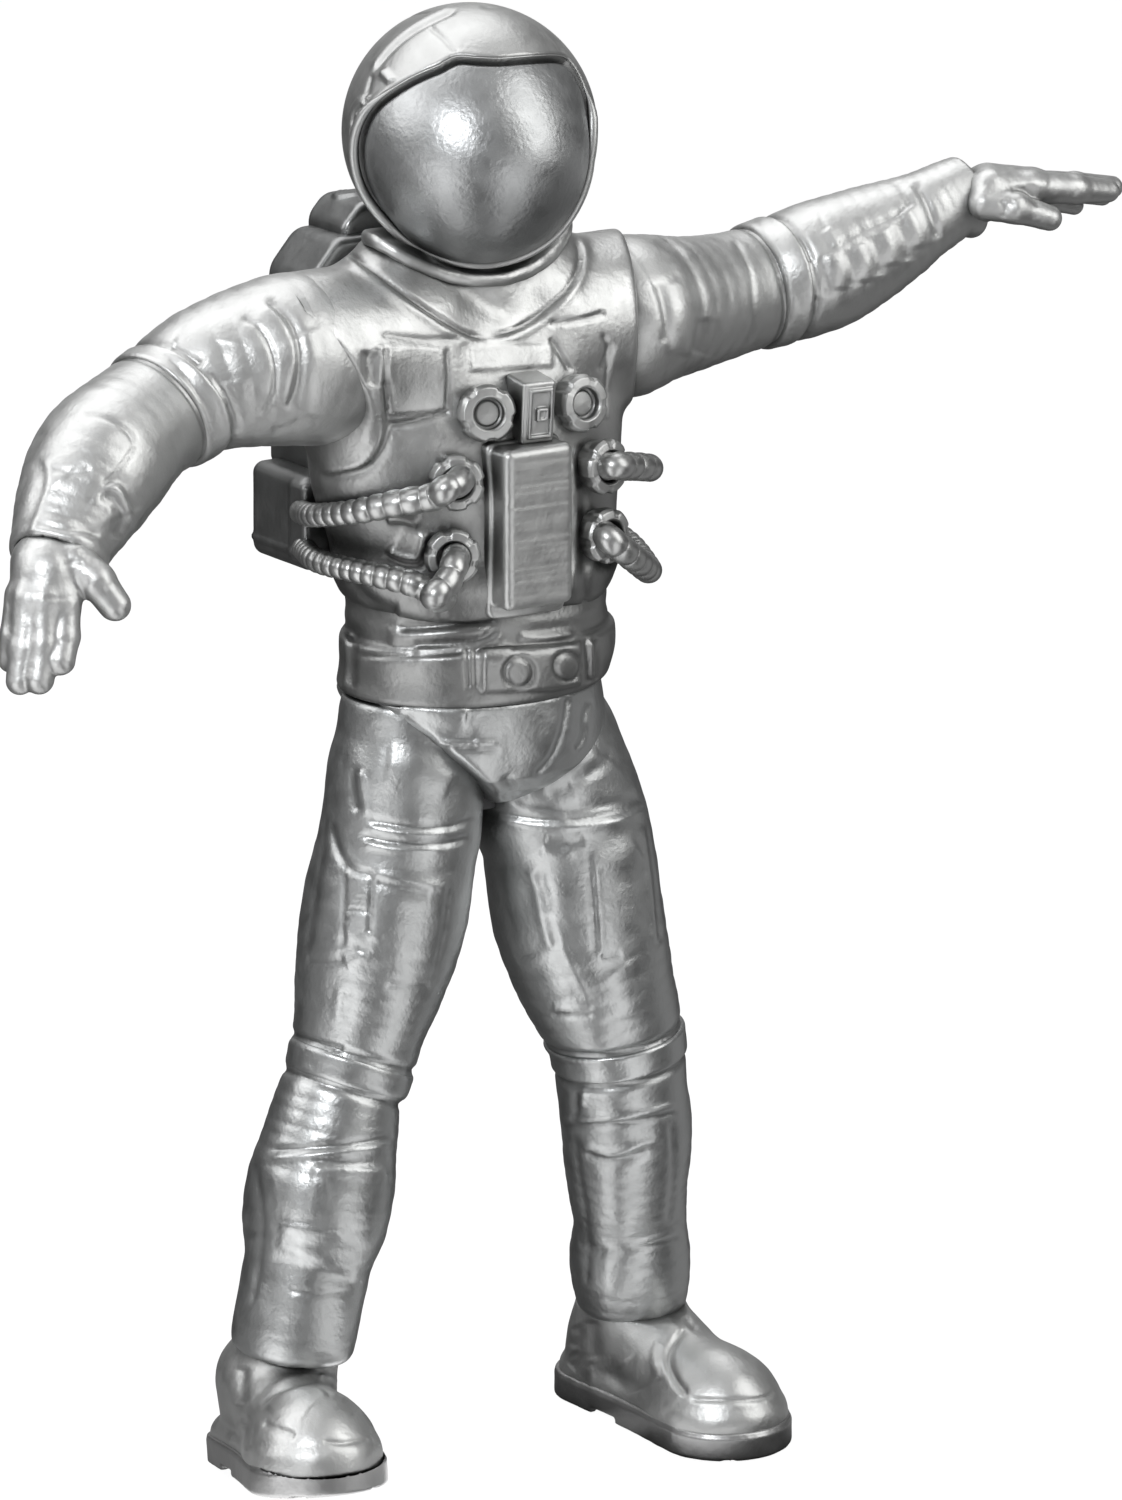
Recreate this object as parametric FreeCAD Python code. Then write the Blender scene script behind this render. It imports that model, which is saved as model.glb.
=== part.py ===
import FreeCAD, Part
import math
import os

# Poseable astronaut figure, millimetres.  +Z is up, the figure faces -Y and its
# left side is +X.  It is modelled with the origin on the floor below the centre of
# the waist; every piece is shifted by -ORIGIN when it is saved.
# Soft-looking suit pieces sit on a hidden frame of rods, eyes, forks and pins.

V = FreeCAD.Vector
X, Y, Z = V(1, 0, 0), V(0, 1, 0), V(0, 0, 1)
ORIGIN = V(7.0, -3.83, 0)
SIDES = {"r": -1, "l": 1}      # sign of x on each side of the figure

# ---- driving dimensions ----
GAP = 0.15            # clearance of a moulded ball in its cup
RUN = 0.05            # radial running clearance of a pin or stud
WAIST_Z = 95.2        # plane where the jacket turns on the trousers
HELMET_C = V(0, -1, 161.2)
HELMET_R = 14.9
VISOR_C = V(0, -3.8, 158.0)
VISOR_R = 13.6

# joint centres
SHOULDER = {"r": V(-21.5, 1, 136.2), "l": V(22.5, 1, 136.3)}
ELBOW = {"r": V(-40.2, 3.5, 132.1), "l": V(44.9, 3.5, 136.4)}
WRIST = {"r": V(-60.3, -7.4, 120.8), "l": V(69.5, -3.8, 146.2)}
FINGERTIP = {"r": V(-68.8, -16.0, 107.4), "l": V(89.1, -9.0, 146.7)}
HIP_Z = 85.0
HIP = {"r": V(-10.1, 0, HIP_Z), "l": V(10.1, 0, HIP_Z)}
KNEE = {"r": V(-19.2, 0, 45.8), "l": V(18.7, -5, 42.5)}
ANKLE = {"r": V(-27.5, -2, 14.6), "l": V(23.4, 0, 12.8)}

# ball radii
SHOULDER_R = 9.3
ELBOW_R = 7.3
HIP_R = 9.4
KNEE_R = 7.8
ANKLE_R = 6.3

# frame radii
ARM_ROD_R = 1.7
LEG_ROD_R = 2.0
PIN_R = 1.1
CROSS_BAR_R = 2.4     # hip cross bar
STUB_R = 2.4          # shoulder hub stub in the chest frame
SPINDLE_R = 3.5       # waist spindle on the hip frame
POST_HOLE_R = 4.0     # hole in the trouser seat for the hip frame post
NECK_R = 3.0
NOD_PIN_R = 1.3
KNEE_EYE_R = 3.5
KNEE_FORK_HALF = 4.0
ELBOW_EYE_R = 3.2
ELBOW_FORK_HALF = 3.55

# torso sections: z, half width, half depth, centre y
TORSO = [
    (95.2, 16.6, 13.6, 0.2), (100, 17.0, 13.8, 0.2), (106, 16.6, 13.2, 0.4),
    (112, 18.0, 13.2, 0.5), (120, 20.0, 13.2, 0.6), (128, 21.0, 12.6, 1.0),
    (135, 21.0, 10.8, 1.5), (141, 19.0, 8.8, 2.0), (145.5, 15.5, 8.0, 2.0),
    (148.5, 13.0, 8.0, 1.6),
]
# trouser seat sections from the waist down, same columns
SEAT = [
    (95.0, 16.4, 13.4, 0.2), (91.0, 17.2, 13.8, 0.2), (86.0, 18.6, 13.6, 0.2),
    (80.0, 18.8, 12.0, 0.2), (75.0, 18.0, 9.5, 0.2),
]
# belt sections, same columns
BELT = [(96.6, 17.4, 14.3, 0.2), (99.2, 17.7, 14.5, 0.2), (101.4, 17.5, 14.3, 0.2)]

# limb profiles: distance along the limb from its upper joint, radius
THIGH = {
    "r": [(4, 8.8), (7, 9.2), (14, 9.9), (20, 9.6), (27, 8.7), (33, 8.2), (39, 8.1), (44, 8.1)],
    "l": [(4, 8.9), (8, 9.6), (14, 10.2), (21, 10.2), (28, 9.3), (35, 8.3), (40, 8.2), (46, 8.2)],
}
SHIN = {
    "r": [(0, 6.8), (3, 6.9), (6, 7.4), (10, 8.4), (14, 8.9), (19, 7.8), (26, 7.6), (30, 7.0),
          (34, 6.9)],
    "l": [(0, 6.8), (3, 6.9), (7, 7.8), (12, 7.8), (18, 7.0), (23, 7.4), (28, 7.0), (33, 6.9)],
}
FOREARM = {
    "r": [(0, 6.7), (4, 6.9), (9, 7.7), (14, 7.8), (20, 6.9)],
    "l": [(0, 6.7), (5, 7.4), (10, 7.5), (16, 6.7), (21, 5.6)],
}
CUFF_R = {"r": 5.7, "l": 4.9}          # forearm radius at the wrist end
GLOVE_WRIST_R = {"r": 4.5, "l": 4.0}
THUMB_SIDE = {"r": V(0.62, -0.65, 0.0), "l": V(-0.25, -0.80, -0.55)}

# boot, about an ankle at the origin with the toe towards -Y
SOLE_Z = -12.8
HEEL_Y, HEEL_R = 5.5, 6.1
TOE_Y, TOE_R = -17.5, 8.3
TOE_LIFT = {"r": 9.5, "l": 0.0}        # degrees
# boot layers: bottom and top above SOLE_Z, outline growth at bottom and top
BOOT_LAYERS = [
    (3.02, 4.2, -0.55, -0.45), (4.2, 8.0, -0.45, -1.6), (7.9, 12.0, -1.6, -3.6),
]

HEAD_ROOM_Z = [142.6, 143.2, 144.5, 146.0, 148.0, 150.0, 152.5, 156.0, 162.0]
HEAD_NOD = 9                           # degrees each way

DIAL_X, DIAL_Z, DIAL_R = 6.6, 130.4, 3.4
FITTINGS = [(-9.6, 122.6), (-9.8, 114.2), (9.8, 122.2), (9.8, 113.8)]   # x, z
PACK_BACK_Y = 21.5

# hoses: outer radius, then centre lines from the backpack round to the chest
HOSE_R = 1.15
HOSE_UPPER = [
    (17.7, 6.85, 116.6), (20.2, 1.0, 117.8), (18.9, -5.2, 119.4), (15.9, -9.4, 121.0),
    (12.5, -12.2, 122.0),
]                                      # left side; x is mirrored for the right
HOSE_LOWER = {
    "r": [(-17.3, 6.85, 112.0), (-19.6, 1.0, 111.6), (-18.0, -5.6, 110.6),
          (-14.4, -10.2, 109.6), (-11.6, -12.0, 109.2), (-9.9, -12.2, 111.3)],
    "l": [(17.3, 6.85, 112.0), (19.6, 1.0, 110.6), (18.0, -5.6, 110.2),
          (15.2, -9.6, 111.6), (12.5, -11.6, 113.4)],
}


# ---- vectors ----
def unit(v):
    v = V(v)
    v.normalize()
    return v


def square_to(v, axis):
    """Unit direction of v made perpendicular to the unit vector axis."""
    return unit(v - axis * v.dot(axis))


def hinge_axis(a, b, c):
    """Normal of the plane through three joints."""
    return unit((b - a).cross(c - b))


THIGH_DIR = {s: unit(KNEE[s] - HIP[s]) for s in SIDES}
SHIN_DIR = {s: unit(ANKLE[s] - KNEE[s]) for s in SIDES}
KNEE_AXIS = {"r": square_to(X, THIGH_DIR["r"]), "l": hinge_axis(HIP["l"], KNEE["l"], ANKLE["l"])}
FOOT_DIR = {s: unit(V(sign * 0.10, -0.995, 0)) for s, sign in SIDES.items()}
ANKLE_AXIS = {s: unit(Z.cross(FOOT_DIR[s])) for s in SIDES}
ARM_DIR = {s: unit(ELBOW[s] - SHOULDER[s]) for s in SIDES}
FOREARM_DIR = {s: unit(WRIST[s] - ELBOW[s]) for s in SIDES}
HAND_DIR = {s: unit(FINGERTIP[s] - WRIST[s]) for s in SIDES}
ELBOW_AXIS = {s: hinge_axis(SHOULDER[s], ELBOW[s], WRIST[s]) for s in SIDES}
# the shoulder pin runs fore and aft, square to the arm rod
RAISE_AXIS = {s: square_to(Y, ARM_DIR[s]) for s in SIDES}


# ---- shape helpers ----
def largest(shape):
    return max(shape.Solids, key=lambda solid: solid.Volume)


def sphere(centre, r):
    ball = Part.makeSphere(r)
    ball.translate(centre)
    return ball


def cyl(a, b, r):
    d = b - a
    return Part.makeCylinder(r, d.Length, a, d)


def centred_cyl(centre, axis, half, r):
    return cyl(centre - axis * half, centre + axis * half, r)


def box(x, y, z):
    """Box spanning x, y, z = (lo, hi)."""
    return Part.makeBox(x[1] - x[0], y[1] - y[0], z[1] - z[0], V(x[0], y[0], z[0]))


def to_frame(shape, c, ax, ay, az):
    """Move shape into the frame at c with axes ax, ay, az."""
    shape.transformShape(FreeCAD.Matrix(
        ax.x, ay.x, az.x, c.x, ax.y, ay.y, az.y, c.y, ax.z, ay.z, az.z, c.z, 0, 0, 0, 1))
    return shape


def half_space(c, normal, size=250.0):
    """Everything on the normal side of the plane through c."""
    n = unit(normal)
    t = unit(n.cross(V(0.31, 0.87, 0.21)))
    return to_frame(box((-size, size), (-size, size), (0, size)), c, t, n.cross(t), n)


def sector(c, axis, start, a0, a1, r, half):
    """Pie slice about axis, from a0 to a1 degrees measured from start."""
    x = square_to(start, axis)
    pie = Part.makeCylinder(r, 2 * half, V(0, 0, -half), Z, a1 - a0)
    pie.rotate(V(0, 0, 0), Z, a0)
    return to_frame(pie, c, x, axis.cross(x), axis)


def section_loft(rows):
    """Loft through level ellipses: z, half width, half depth, centre y."""
    wires = []
    for z, a, b, y in rows:
        if a >= b:
            ellipse = Part.Ellipse(V(0, y, z), a, b)
        else:
            ellipse = Part.Ellipse(V(0, y + b, z), V(a, y, z), V(0, y, z))
        wires.append(Part.Wire(ellipse.toShape()))
    return Part.makeLoft(wires, True, False)


def tube(points, radii, end_dir):
    """Round loft whose end circles face along end_dir."""
    wires = []
    for i, (p, r) in enumerate(zip(points, radii)):
        inside = 0 < i < len(points) - 1
        d = points[i + 1] - points[i - 1] if inside else end_dir
        wires.append(Part.Wire(Part.Circle(p, d, r).toShape()))
    return Part.makeLoft(wires, True, False)


def straight(a, b, rows):
    """Tube along a-b; rows of (distance from a, radius)."""
    d = unit(b - a)
    return tube([a + d * t for t, r in rows], [r for t, r in rows], d)


def soften(shape, r):
    """Fillet every edge."""
    # the full radius may not fit, so smaller ones are tried, then the sharp shape
    for k in (1.0, 0.6, 0.3):
        try:
            rounded = shape.makeFillet(r * k, shape.Edges)
            if rounded.isValid() and len(rounded.Solids) == 1:
                return rounded
        except Exception:
            pass
    return shape


def fork(c, axis, out, r, half_in, half_out, reach):
    """Two cheeks about axis at c, bridged towards out."""
    out = square_to(out, axis)
    w = axis.cross(out)
    bridge = box((0, reach), (-2.6, 2.6), (-half_out, half_out))
    body = centred_cyl(c, axis, half_out, r).fuse(to_frame(bridge, c, out, w, axis))
    back = box((-r - 2, 0), (-r - 2, r + 2), (-half_in, half_in))
    body = body.cut(centred_cyl(c, axis, half_in, r + 0.35))
    return body.cut(to_frame(back, c, out, w, axis))


def pin_hole(c, axis, clearance=0.0):
    return centred_cyl(c, axis, 9, PIN_R + clearance)


# ---- hips ----
def make_trouser_seat():
    seat = section_loft(SEAT).common(half_space(V(0, 0, 79.0), Z))
    for s, sign in SIDES.items():
        seat = seat.cut(sphere(HIP[s], HIP_R + GAP))
        # the sloped leg openings give V-shaped creases at the groin
        below = half_space(V(sign * 1.0, 0, 83.2), V(sign * 0.50, 0, -0.866))
        outboard = half_space(V(sign * 0.9, 0, 0), V(sign, 0, 0), 120.0)
        seat = seat.cut(below.common(outboard))
    seat = seat.cut(cyl(V(0, 0, 74), V(0, 0, 97), POST_HOLE_R))
    for sign in SIDES.values():
        seat = seat.cut(cyl(V(0, 0, HIP_Z), V(sign * 18, 0, HIP_Z), 2.6))
    # drop slivers, but keep everything if no solid dominates
    solids = sorted(seat.Solids, key=lambda solid: -solid.Volume)
    dominant = solids[0].Volume > 5 * sum(solid.Volume for solid in solids[1:])
    return solids[0] if dominant else seat


def make_hip_frame():
    """Post with the leg cross bar and the waist spindle."""
    post = cyl(V(0, 0, 80.2), V(0, 0, 95.0), POST_HOLE_R - RUN)
    for s in SIDES:
        post = post.cut(sphere(HIP[s], HIP_R + GAP))
    frame = post.fuse(cyl(V(-16.6, 0, HIP_Z), V(16.6, 0, HIP_Z), CROSS_BAR_R))
    return frame.fuse(cyl(V(0, 0, 94.0), V(0, 0, 108.0), SPINDLE_R))


# ---- legs ----
def knee_rim(s):
    """Space beyond the thigh rim, tilted to cover the front and open the back."""
    tilt = math.radians(33)
    backward = KNEE_AXIS[s].cross(THIGH_DIR[s])
    normal = unit(THIGH_DIR[s] * math.cos(tilt) + backward * math.sin(tilt))
    return half_space(KNEE[s] - normal * 3.4, normal)


def make_knee_band(s):
    """Raised ring at the rim of the thigh."""
    hip, knee = HIP[s], KNEE[s]
    length = (knee - hip).Length
    r = THIGH[s][-2][1]
    band = straight(hip, knee, [(length - 6.6, r + 0.55), (length - 3.4, r + 0.6)])
    inside = straight(hip, knee, [(length - 7.6, r - 0.7), (length - 2.4, r - 0.7)])
    return band.cut(inside).cut(knee_rim(s))


def make_thigh_suit(s, band):
    sign, hip, knee = SIDES[s], HIP[s], KNEE[s]
    thigh = straight(hip, knee, THIGH[s]).fuse(sphere(hip, HIP_R))
    thigh = thigh.cut(sphere(knee, KNEE_R + GAP))
    thigh = thigh.cut(knee_rim(s))
    thigh = thigh.cut(cyl(hip, knee, LEG_ROD_R + RUN))
    # room for the core's hub and for the cross bar
    thigh = thigh.cut(cyl(V(sign * 5.0, 0, HIP_Z), V(sign * 17.0, 0, HIP_Z), 4.3))
    thigh = thigh.cut(cyl(V(0, 0, HIP_Z), V(sign * 6.0, 0, HIP_Z), 2.9))
    return largest(largest(thigh).cut(band))


def make_thigh_core(s):
    """Rod with a hub on the cross bar and an eye at the knee."""
    sign, knee, axis = SIDES[s], KNEE[s], KNEE_AXIS[s]
    core = cyl(HIP[s], knee, LEG_ROD_R)
    core = core.fuse(cyl(V(sign * 5.1, 0, HIP_Z), V(sign * 16.8, 0, HIP_Z), 4.2))
    core = core.cut(cyl(V(0, 0, HIP_Z), V(sign * 30, 0, HIP_Z), CROSS_BAR_R + RUN))
    core = core.fuse(centred_cyl(knee, axis, 1.9, KNEE_EYE_R))
    return largest(core.cut(pin_hole(knee, axis, RUN)))


def make_shin_suit(s):
    knee, ankle = KNEE[s], ANKLE[s]
    shin = straight(knee, ankle, SHIN[s]).fuse(sphere(knee, KNEE_R))
    shin = shin.cut(sphere(ankle, ANKLE_R + GAP)).cut(half_space(ankle + V(0, 0, 2.4), -Z))
    shin = shin.cut(cyl(knee, ankle, LEG_ROD_R + RUN))
    # pocket for the fork, then the slot the thigh core swings in
    shin = shin.cut(sphere(knee, 5.7))
    shin = shin.cut(cyl(knee, knee + SHIN_DIR[s] * 6.6, 5.1))
    shin = shin.cut(sector(knee, KNEE_AXIS[s], -THIGH_DIR[s], -84, 34, KNEE_R + 3, 2.2))
    return largest(shin)


def make_shin_core(s):
    """Rod with a fork at the knee and an eye at the ankle."""
    knee, ankle, d = KNEE[s], ANKLE[s], SHIN_DIR[s]
    core = fork(knee, KNEE_AXIS[s], d, KNEE_EYE_R, half_in=2.0, half_out=KNEE_FORK_HALF, reach=6.4)
    core = core.fuse(cyl(knee + d * 4.6, ankle, LEG_ROD_R))
    core = core.fuse(centred_cyl(ankle, ANKLE_AXIS[s], 1.6, 3.0))
    core = core.cut(pin_hole(knee, KNEE_AXIS[s])).cut(pin_hole(ankle, ANKLE_AXIS[s], RUN))
    return largest(core)


# ---- boots ----
def boot_outline(z, grow):
    """Heel and toe arcs joined by their tangents."""
    heel_r, toe_r = HEEL_R + grow, TOE_R + grow
    angle = math.asin((toe_r - heel_r) / (HEEL_Y - TOE_Y))
    c, s = math.cos(angle), math.sin(angle)
    heel_y, toe_y = HEEL_Y + heel_r * s, TOE_Y + toe_r * s
    heel_1, heel_2 = V(heel_r * c, heel_y, z), V(-heel_r * c, heel_y, z)
    toe_1, toe_2 = V(toe_r * c, toe_y, z), V(-toe_r * c, toe_y, z)
    return Part.Wire([
        Part.Arc(heel_1, V(0, HEEL_Y + heel_r, z), heel_2).toShape(),
        Part.makeLine(heel_2, toe_2),
        Part.Arc(toe_2, V(0, TOE_Y - toe_r, z), toe_1).toShape(),
        Part.makeLine(toe_1, heel_1)])


def boot_slab(bottom, top, grow_bottom, grow_top):
    """Slab between two heights above SOLE_Z."""
    return Part.makeLoft([boot_outline(SOLE_Z + bottom, grow_bottom),
                          boot_outline(SOLE_Z + top, grow_top)], True, True)


def place_foot(shape, s):
    foot = FOOT_DIR[s]
    shape.rotate(V(0, 0, 0), X, -TOE_LIFT[s])
    shape.rotate(V(0, 0, 0), Z, math.degrees(math.atan2(foot.x, -foot.y)))
    shape.translate(ANKLE[s])
    return shape


def make_sole(s):
    arch = Part.makeBox(30, 6.0, 1.2, V(-15, -5.0, SOLE_Z - 0.2))
    return place_foot(boot_slab(0, 3.0, 0.0, 0.0).cut(arch), s)


def make_boot(s):
    origin = V(0, 0, 0)
    layers = [boot_slab(*row) for row in BOOT_LAYERS]
    upper = layers[0].fuse(layers[1]).fuse(layers[2])
    # slope over the front of the foot
    slope = to_frame(box((-15, 15), (-30, 40), (0.9, 30)), V(0, -15, SOLE_Z + 6.6),
                     X, unit(V(0, -0.86, -0.51)), unit(V(0, -0.51, 0.86)))
    upper = upper.cut(slope.common(Part.makeBox(40, 40, 40, V(-20, -46.5, SOLE_Z))))
    shaft = tube([V(0, 1.2, SOLE_Z + 6), V(0, 0.4, SOLE_Z + 9.5), V(0, 0, -0.4)],
                 [6.9, 6.7, 6.2], Z)
    upper = upper.fuse(shaft).fuse(sphere(origin, ANKLE_R))
    upper = upper.cut(Part.makeBox(60, 60, 40, V(-30, -30, 8.0)))
    # cavity for the ankle eye, slot above it and the pin hole
    slot = sector(origin, X, Z, -62, 62, 9.5, 2.3)
    slot = slot.common(Part.makeBox(40, 40, 40, V(-20, -20, 0.6)))
    upper = upper.cut(centred_cyl(origin, X, 1.75, 3.2)).cut(slot).cut(pin_hole(origin, X))
    boot = place_foot(upper, s)
    # fan of clearances for the shin rod as the ankle turns
    for i in range(-3, 4):
        rod = cyl(origin, -SHIN_DIR[s] * 12.0, LEG_ROD_R + 0.25)
        rod.rotate(origin, ANKLE_AXIS[s], i * 6.0)
        rod.translate(ANKLE[s])
        boot = boot.cut(rod)
    return largest(boot)


# ---- torso ----
def head_reach(z):
    """Largest radius the nodding helmet and visor need at height z."""
    best = 0.0
    for degrees in (-HEAD_NOD, 0, HEAD_NOD):
        nod = math.radians(degrees)
        dy, dz = VISOR_C.y - HELMET_C.y, VISOR_C.z - HELMET_C.z
        centre_y = dy * math.cos(nod) - dz * math.sin(nod)
        centre_z = HELMET_C.z + dy * math.sin(nod) + dz * math.cos(nod)
        r = VISOR_R + 0.7
        if abs(z - centre_z) < r:
            best = max(best, math.sqrt(r * r - (z - centre_z) ** 2) + abs(centre_y))
    r = HELMET_R + 0.5
    if abs(z - HELMET_C.z) < r:
        best = max(best, math.sqrt(r * r - (z - HELMET_C.z) ** 2))
    return best


def make_head_room():
    """Swept clearance of the head as it turns and nods."""
    points = [V(0, 0, HEAD_ROOM_Z[0])]
    points += [V(max(head_reach(z), 0.05), 0, z) for z in HEAD_ROOM_Z]
    points += [V(0, 0, HEAD_ROOM_Z[-1])]
    lines = [Part.makeLine(a, b) for a, b in zip(points, points[1:])]
    lines.append(Part.makeLine(points[-1], points[0]))
    room = Part.Face(Part.Wire(lines)).revolve(V(0, 0, 0), Z, 360)
    room.translate(V(HELMET_C.x, HELMET_C.y, 0))
    return room


def collar_torus(tube_r):
    ring = Part.makeTorus(13.3, tube_r, V(0, 0, 0), Z)
    ring.rotate(V(0, 0, 0), X, 10)
    ring.translate(V(0, -0.9, 148.0))
    return ring


def make_jacket():
    jacket = torso.cut(head_room)
    for s, sign in SIDES.items():
        c, outward = SHOULDER[s], V(sign, 0, 0)
        jacket = jacket.cut(sphere(c, SHOULDER_R + GAP))
        jacket = jacket.cut(half_space(c - outward * 3.9, outward).common(
            Part.makeBox(200, 200, 60, V(-100, -100, 124.5))))
        jacket = jacket.cut(cyl(c, c - outward * 20, 3.2))
    # room for the chest frame and the neck
    room = Part.makeBox(17.2, 9.2, 34.2, V(-8.6, -3.5, 105.9))
    room = room.fuse(Part.makeCylinder(6.05, 45, V(0, 0, 95.0)))
    room = room.fuse(Part.makeBox(25.4, 7.2, 8.2, V(-12.5, -2.6, 132.1)))
    jacket = jacket.cut(room).cut(Part.makeCylinder(4.2, 16, V(0, HELMET_C.y, 138)))
    return largest(jacket.common(half_space(V(0, 0, WAIST_Z), Z)))


def make_chest_frame():
    """Block with sockets for the waist spindle, neck and shoulder hubs."""
    chest = Part.makeBox(17.0, 9.0, 34.0, V(-8.5, -3.4, 106.0))
    chest = chest.fuse(Part.makeCylinder(6.0, 38.4, V(0, 0, 95.7)))
    chest = chest.fuse(Part.makeBox(25.0, 7.0, 8.0, V(-12.3, -2.5, 132.2)))
    for s, sign in SIDES.items():
        c = SHOULDER[s]
        chest = chest.cut(sphere(c, SHOULDER_R + GAP))
        chest = chest.cut(cyl(c, c - V(sign * 19.0, 0, 0), STUB_R + RUN))
    chest = chest.cut(cyl(V(0, 0, 90), V(0, 0, 108.3), SPINDLE_R + RUN))
    chest = chest.cut(cyl(V(0, HELMET_C.y, 132.0), V(0, HELMET_C.y, 160), NECK_R + RUN))
    return largest(chest)


# ---- arms ----
def make_shoulder_hub(s):
    """Slotted ball with a stub that turns in the chest frame."""
    c, axis, sign = SHOULDER[s], RAISE_AXIS[s], SIDES[s]
    ball = Part.makeSphere(SHOULDER_R)
    # this turns the sphere's poles and seam to a set position
    ball.rotate(V(0, 0, 0), Y, 90 * sign)
    ball.rotate(V(0, 0, 0), X, 37)
    ball.translate(c)
    slot = centred_cyl(c, axis, 1.95, 3.7)
    slot = slot.fuse(sector(c, axis, ARM_DIR[s], -62, 62, 12.0, 1.95)).removeSplitter()
    hub = ball.cut(slot).cut(centred_cyl(c, axis, 12, PIN_R))
    inward = V(-sign, 0, 0)
    return largest(hub.fuse(cyl(c + inward * 6.0, c + inward * 18.0, STUB_R)))


def make_upper_arm_core(s):
    """Rod with an eye at each end."""
    shoulder, elbow = SHOULDER[s], ELBOW[s]
    core = cyl(shoulder, elbow, ARM_ROD_R)
    core = core.fuse(centred_cyl(shoulder, RAISE_AXIS[s], 1.85, 3.5))
    core = core.fuse(centred_cyl(elbow, ELBOW_AXIS[s], 1.75, ELBOW_EYE_R))
    core = core.cut(pin_hole(shoulder, RAISE_AXIS[s], RUN))
    return largest(core.cut(pin_hole(elbow, ELBOW_AXIS[s], RUN)))


def elbow_rim(s):
    """Space beyond the tilted rim of the upper sleeve."""
    normal = unit(ARM_DIR[s] * 0.82 + FOREARM_DIR[s] * 0.75)
    return half_space(ELBOW[s] - normal * 3.3, normal)


def make_elbow_band(s):
    """Raised ring at the rim of the upper sleeve."""
    c, e = SHOULDER[s], ELBOW[s]
    length = (e - c).Length
    band = straight(c, e, [(length - 7.4, 8.35), (length - 4.6, 8.2)])
    band = band.cut(straight(c, e, [(length - 9, 7.1), (length - 3, 7.1)]))
    return band.cut(elbow_rim(s))


def make_upper_sleeve(s, band):
    c, e = SHOULDER[s], ELBOW[s]
    length = (e - c).Length
    sleeve = straight(c, e, [(2.6, 8.9), (7, 9.0), (12, 8.5), (length - 4, 7.8),
                             (length, 7.6), (length + 4, 7.6)])
    sleeve = sleeve.cut(sphere(c, SHOULDER_R + GAP)).cut(sphere(e, ELBOW_R + GAP))
    sleeve = sleeve.cut(elbow_rim(s))
    sleeve = sleeve.cut(cyl(c, e, ARM_ROD_R + RUN))
    return largest(largest(sleeve).cut(band))


def make_lower_sleeve(s):
    e, w, d = ELBOW[s], WRIST[s], FOREARM_DIR[s]
    rows = FOREARM[s] + [((w - e).Length - 1.5, CUFF_R[s])]
    sleeve = straight(e, w, rows).fuse(sphere(e, ELBOW_R))
    # pocket for the fork, rod bore, then the slot the upper arm core swings in
    sleeve = sleeve.cut(sphere(e, 4.95)).cut(cyl(e, e + d * 6.5, 4.6))
    sleeve = sleeve.cut(cyl(e, w, ARM_ROD_R + RUN))
    sleeve = sleeve.cut(sector(e, ELBOW_AXIS[s], -ARM_DIR[s], -66, 52, ELBOW_R + 3, 1.95))
    # cuff recess for the glove
    return largest(sleeve.cut(cyl(w - d * 3.0, w + d * 4, GLOVE_WRIST_R[s] + GAP)))


def make_forearm_core(s):
    """Rod with a fork at the elbow, ending short of the glove's rod."""
    e, d, axis = ELBOW[s], FOREARM_DIR[s], ELBOW_AXIS[s]
    length = (WRIST[s] - e).Length
    core = fork(e, axis, d, ELBOW_EYE_R, half_in=1.85, half_out=ELBOW_FORK_HALF, reach=6.2)
    core = core.fuse(cyl(e + d * 4.4, e + d * (length - 9.0), ARM_ROD_R))
    return largest(core.cut(pin_hole(e, axis)))


def make_glove(s):
    """Wrist stud, palm, four fingers and a thumb."""
    w, d, hand = WRIST[s], FOREARM_DIR[s], HAND_DIR[s]
    wrist_r = GLOVE_WRIST_R[s]
    glove = cyl(w - d * 2.9, w + d * 1.4, wrist_r).fuse(sphere(w + d * 1.4, wrist_r))
    glove = glove.fuse(cyl(w - d * 8.8, w - d * 2.8, ARM_ROD_R))
    across = square_to(THUMB_SIDE[s], hand)
    flat = unit(hand.cross(across))
    base = w + d * 1.6
    palm = to_frame(box((0.0, 8.2), (-4.3, 4.3), (-2.1, 2.1)), base, hand, across, flat)
    glove = glove.fuse(soften(palm, 1.7))
    finger_r = 1.25
    for i in range(4):
        offset = -3.3 + 2.2 * i
        length = 13.6 + (0.9 if i in (1, 2) else 0)
        root = base + hand * 6.6 + across * offset
        tip = base + hand * length + across * (offset * 1.5) - flat * 0.4
        glove = glove.fuse(cyl(root, tip, finger_r)).fuse(sphere(tip, finger_r))
    thumb_r = 1.5
    root = base + hand * 2.6 + across * 3.2
    tip = base + hand * 8.2 + across * 7.4 + flat * 0.8
    glove = glove.fuse(cyl(root, tip, thumb_r))
    return largest(glove.fuse(sphere(tip, thumb_r)).fuse(sphere(root, thumb_r)))


# ---- neck and helmet ----
def neck_hole(top):
    """Opening under the head, up to z = top."""
    return cyl(V(0, HELMET_C.y, 140), V(0, HELMET_C.y, top), 6.2)


def in_front(depth):
    """Space more than depth in front of the helmet centre."""
    return half_space(V(0, HELMET_C.y - depth, 0), -Y)


def nod_cyl(half, r):
    return centred_cyl(HELMET_C, X, half, r)


def make_neck_post():
    neck = cyl(V(0, HELMET_C.y, 132.2), V(0, HELMET_C.y, 158.0), NECK_R)
    return largest(neck.fuse(nod_cyl(3.0, 3.4)).cut(nod_cyl(20, NOD_PIN_R)))


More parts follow.
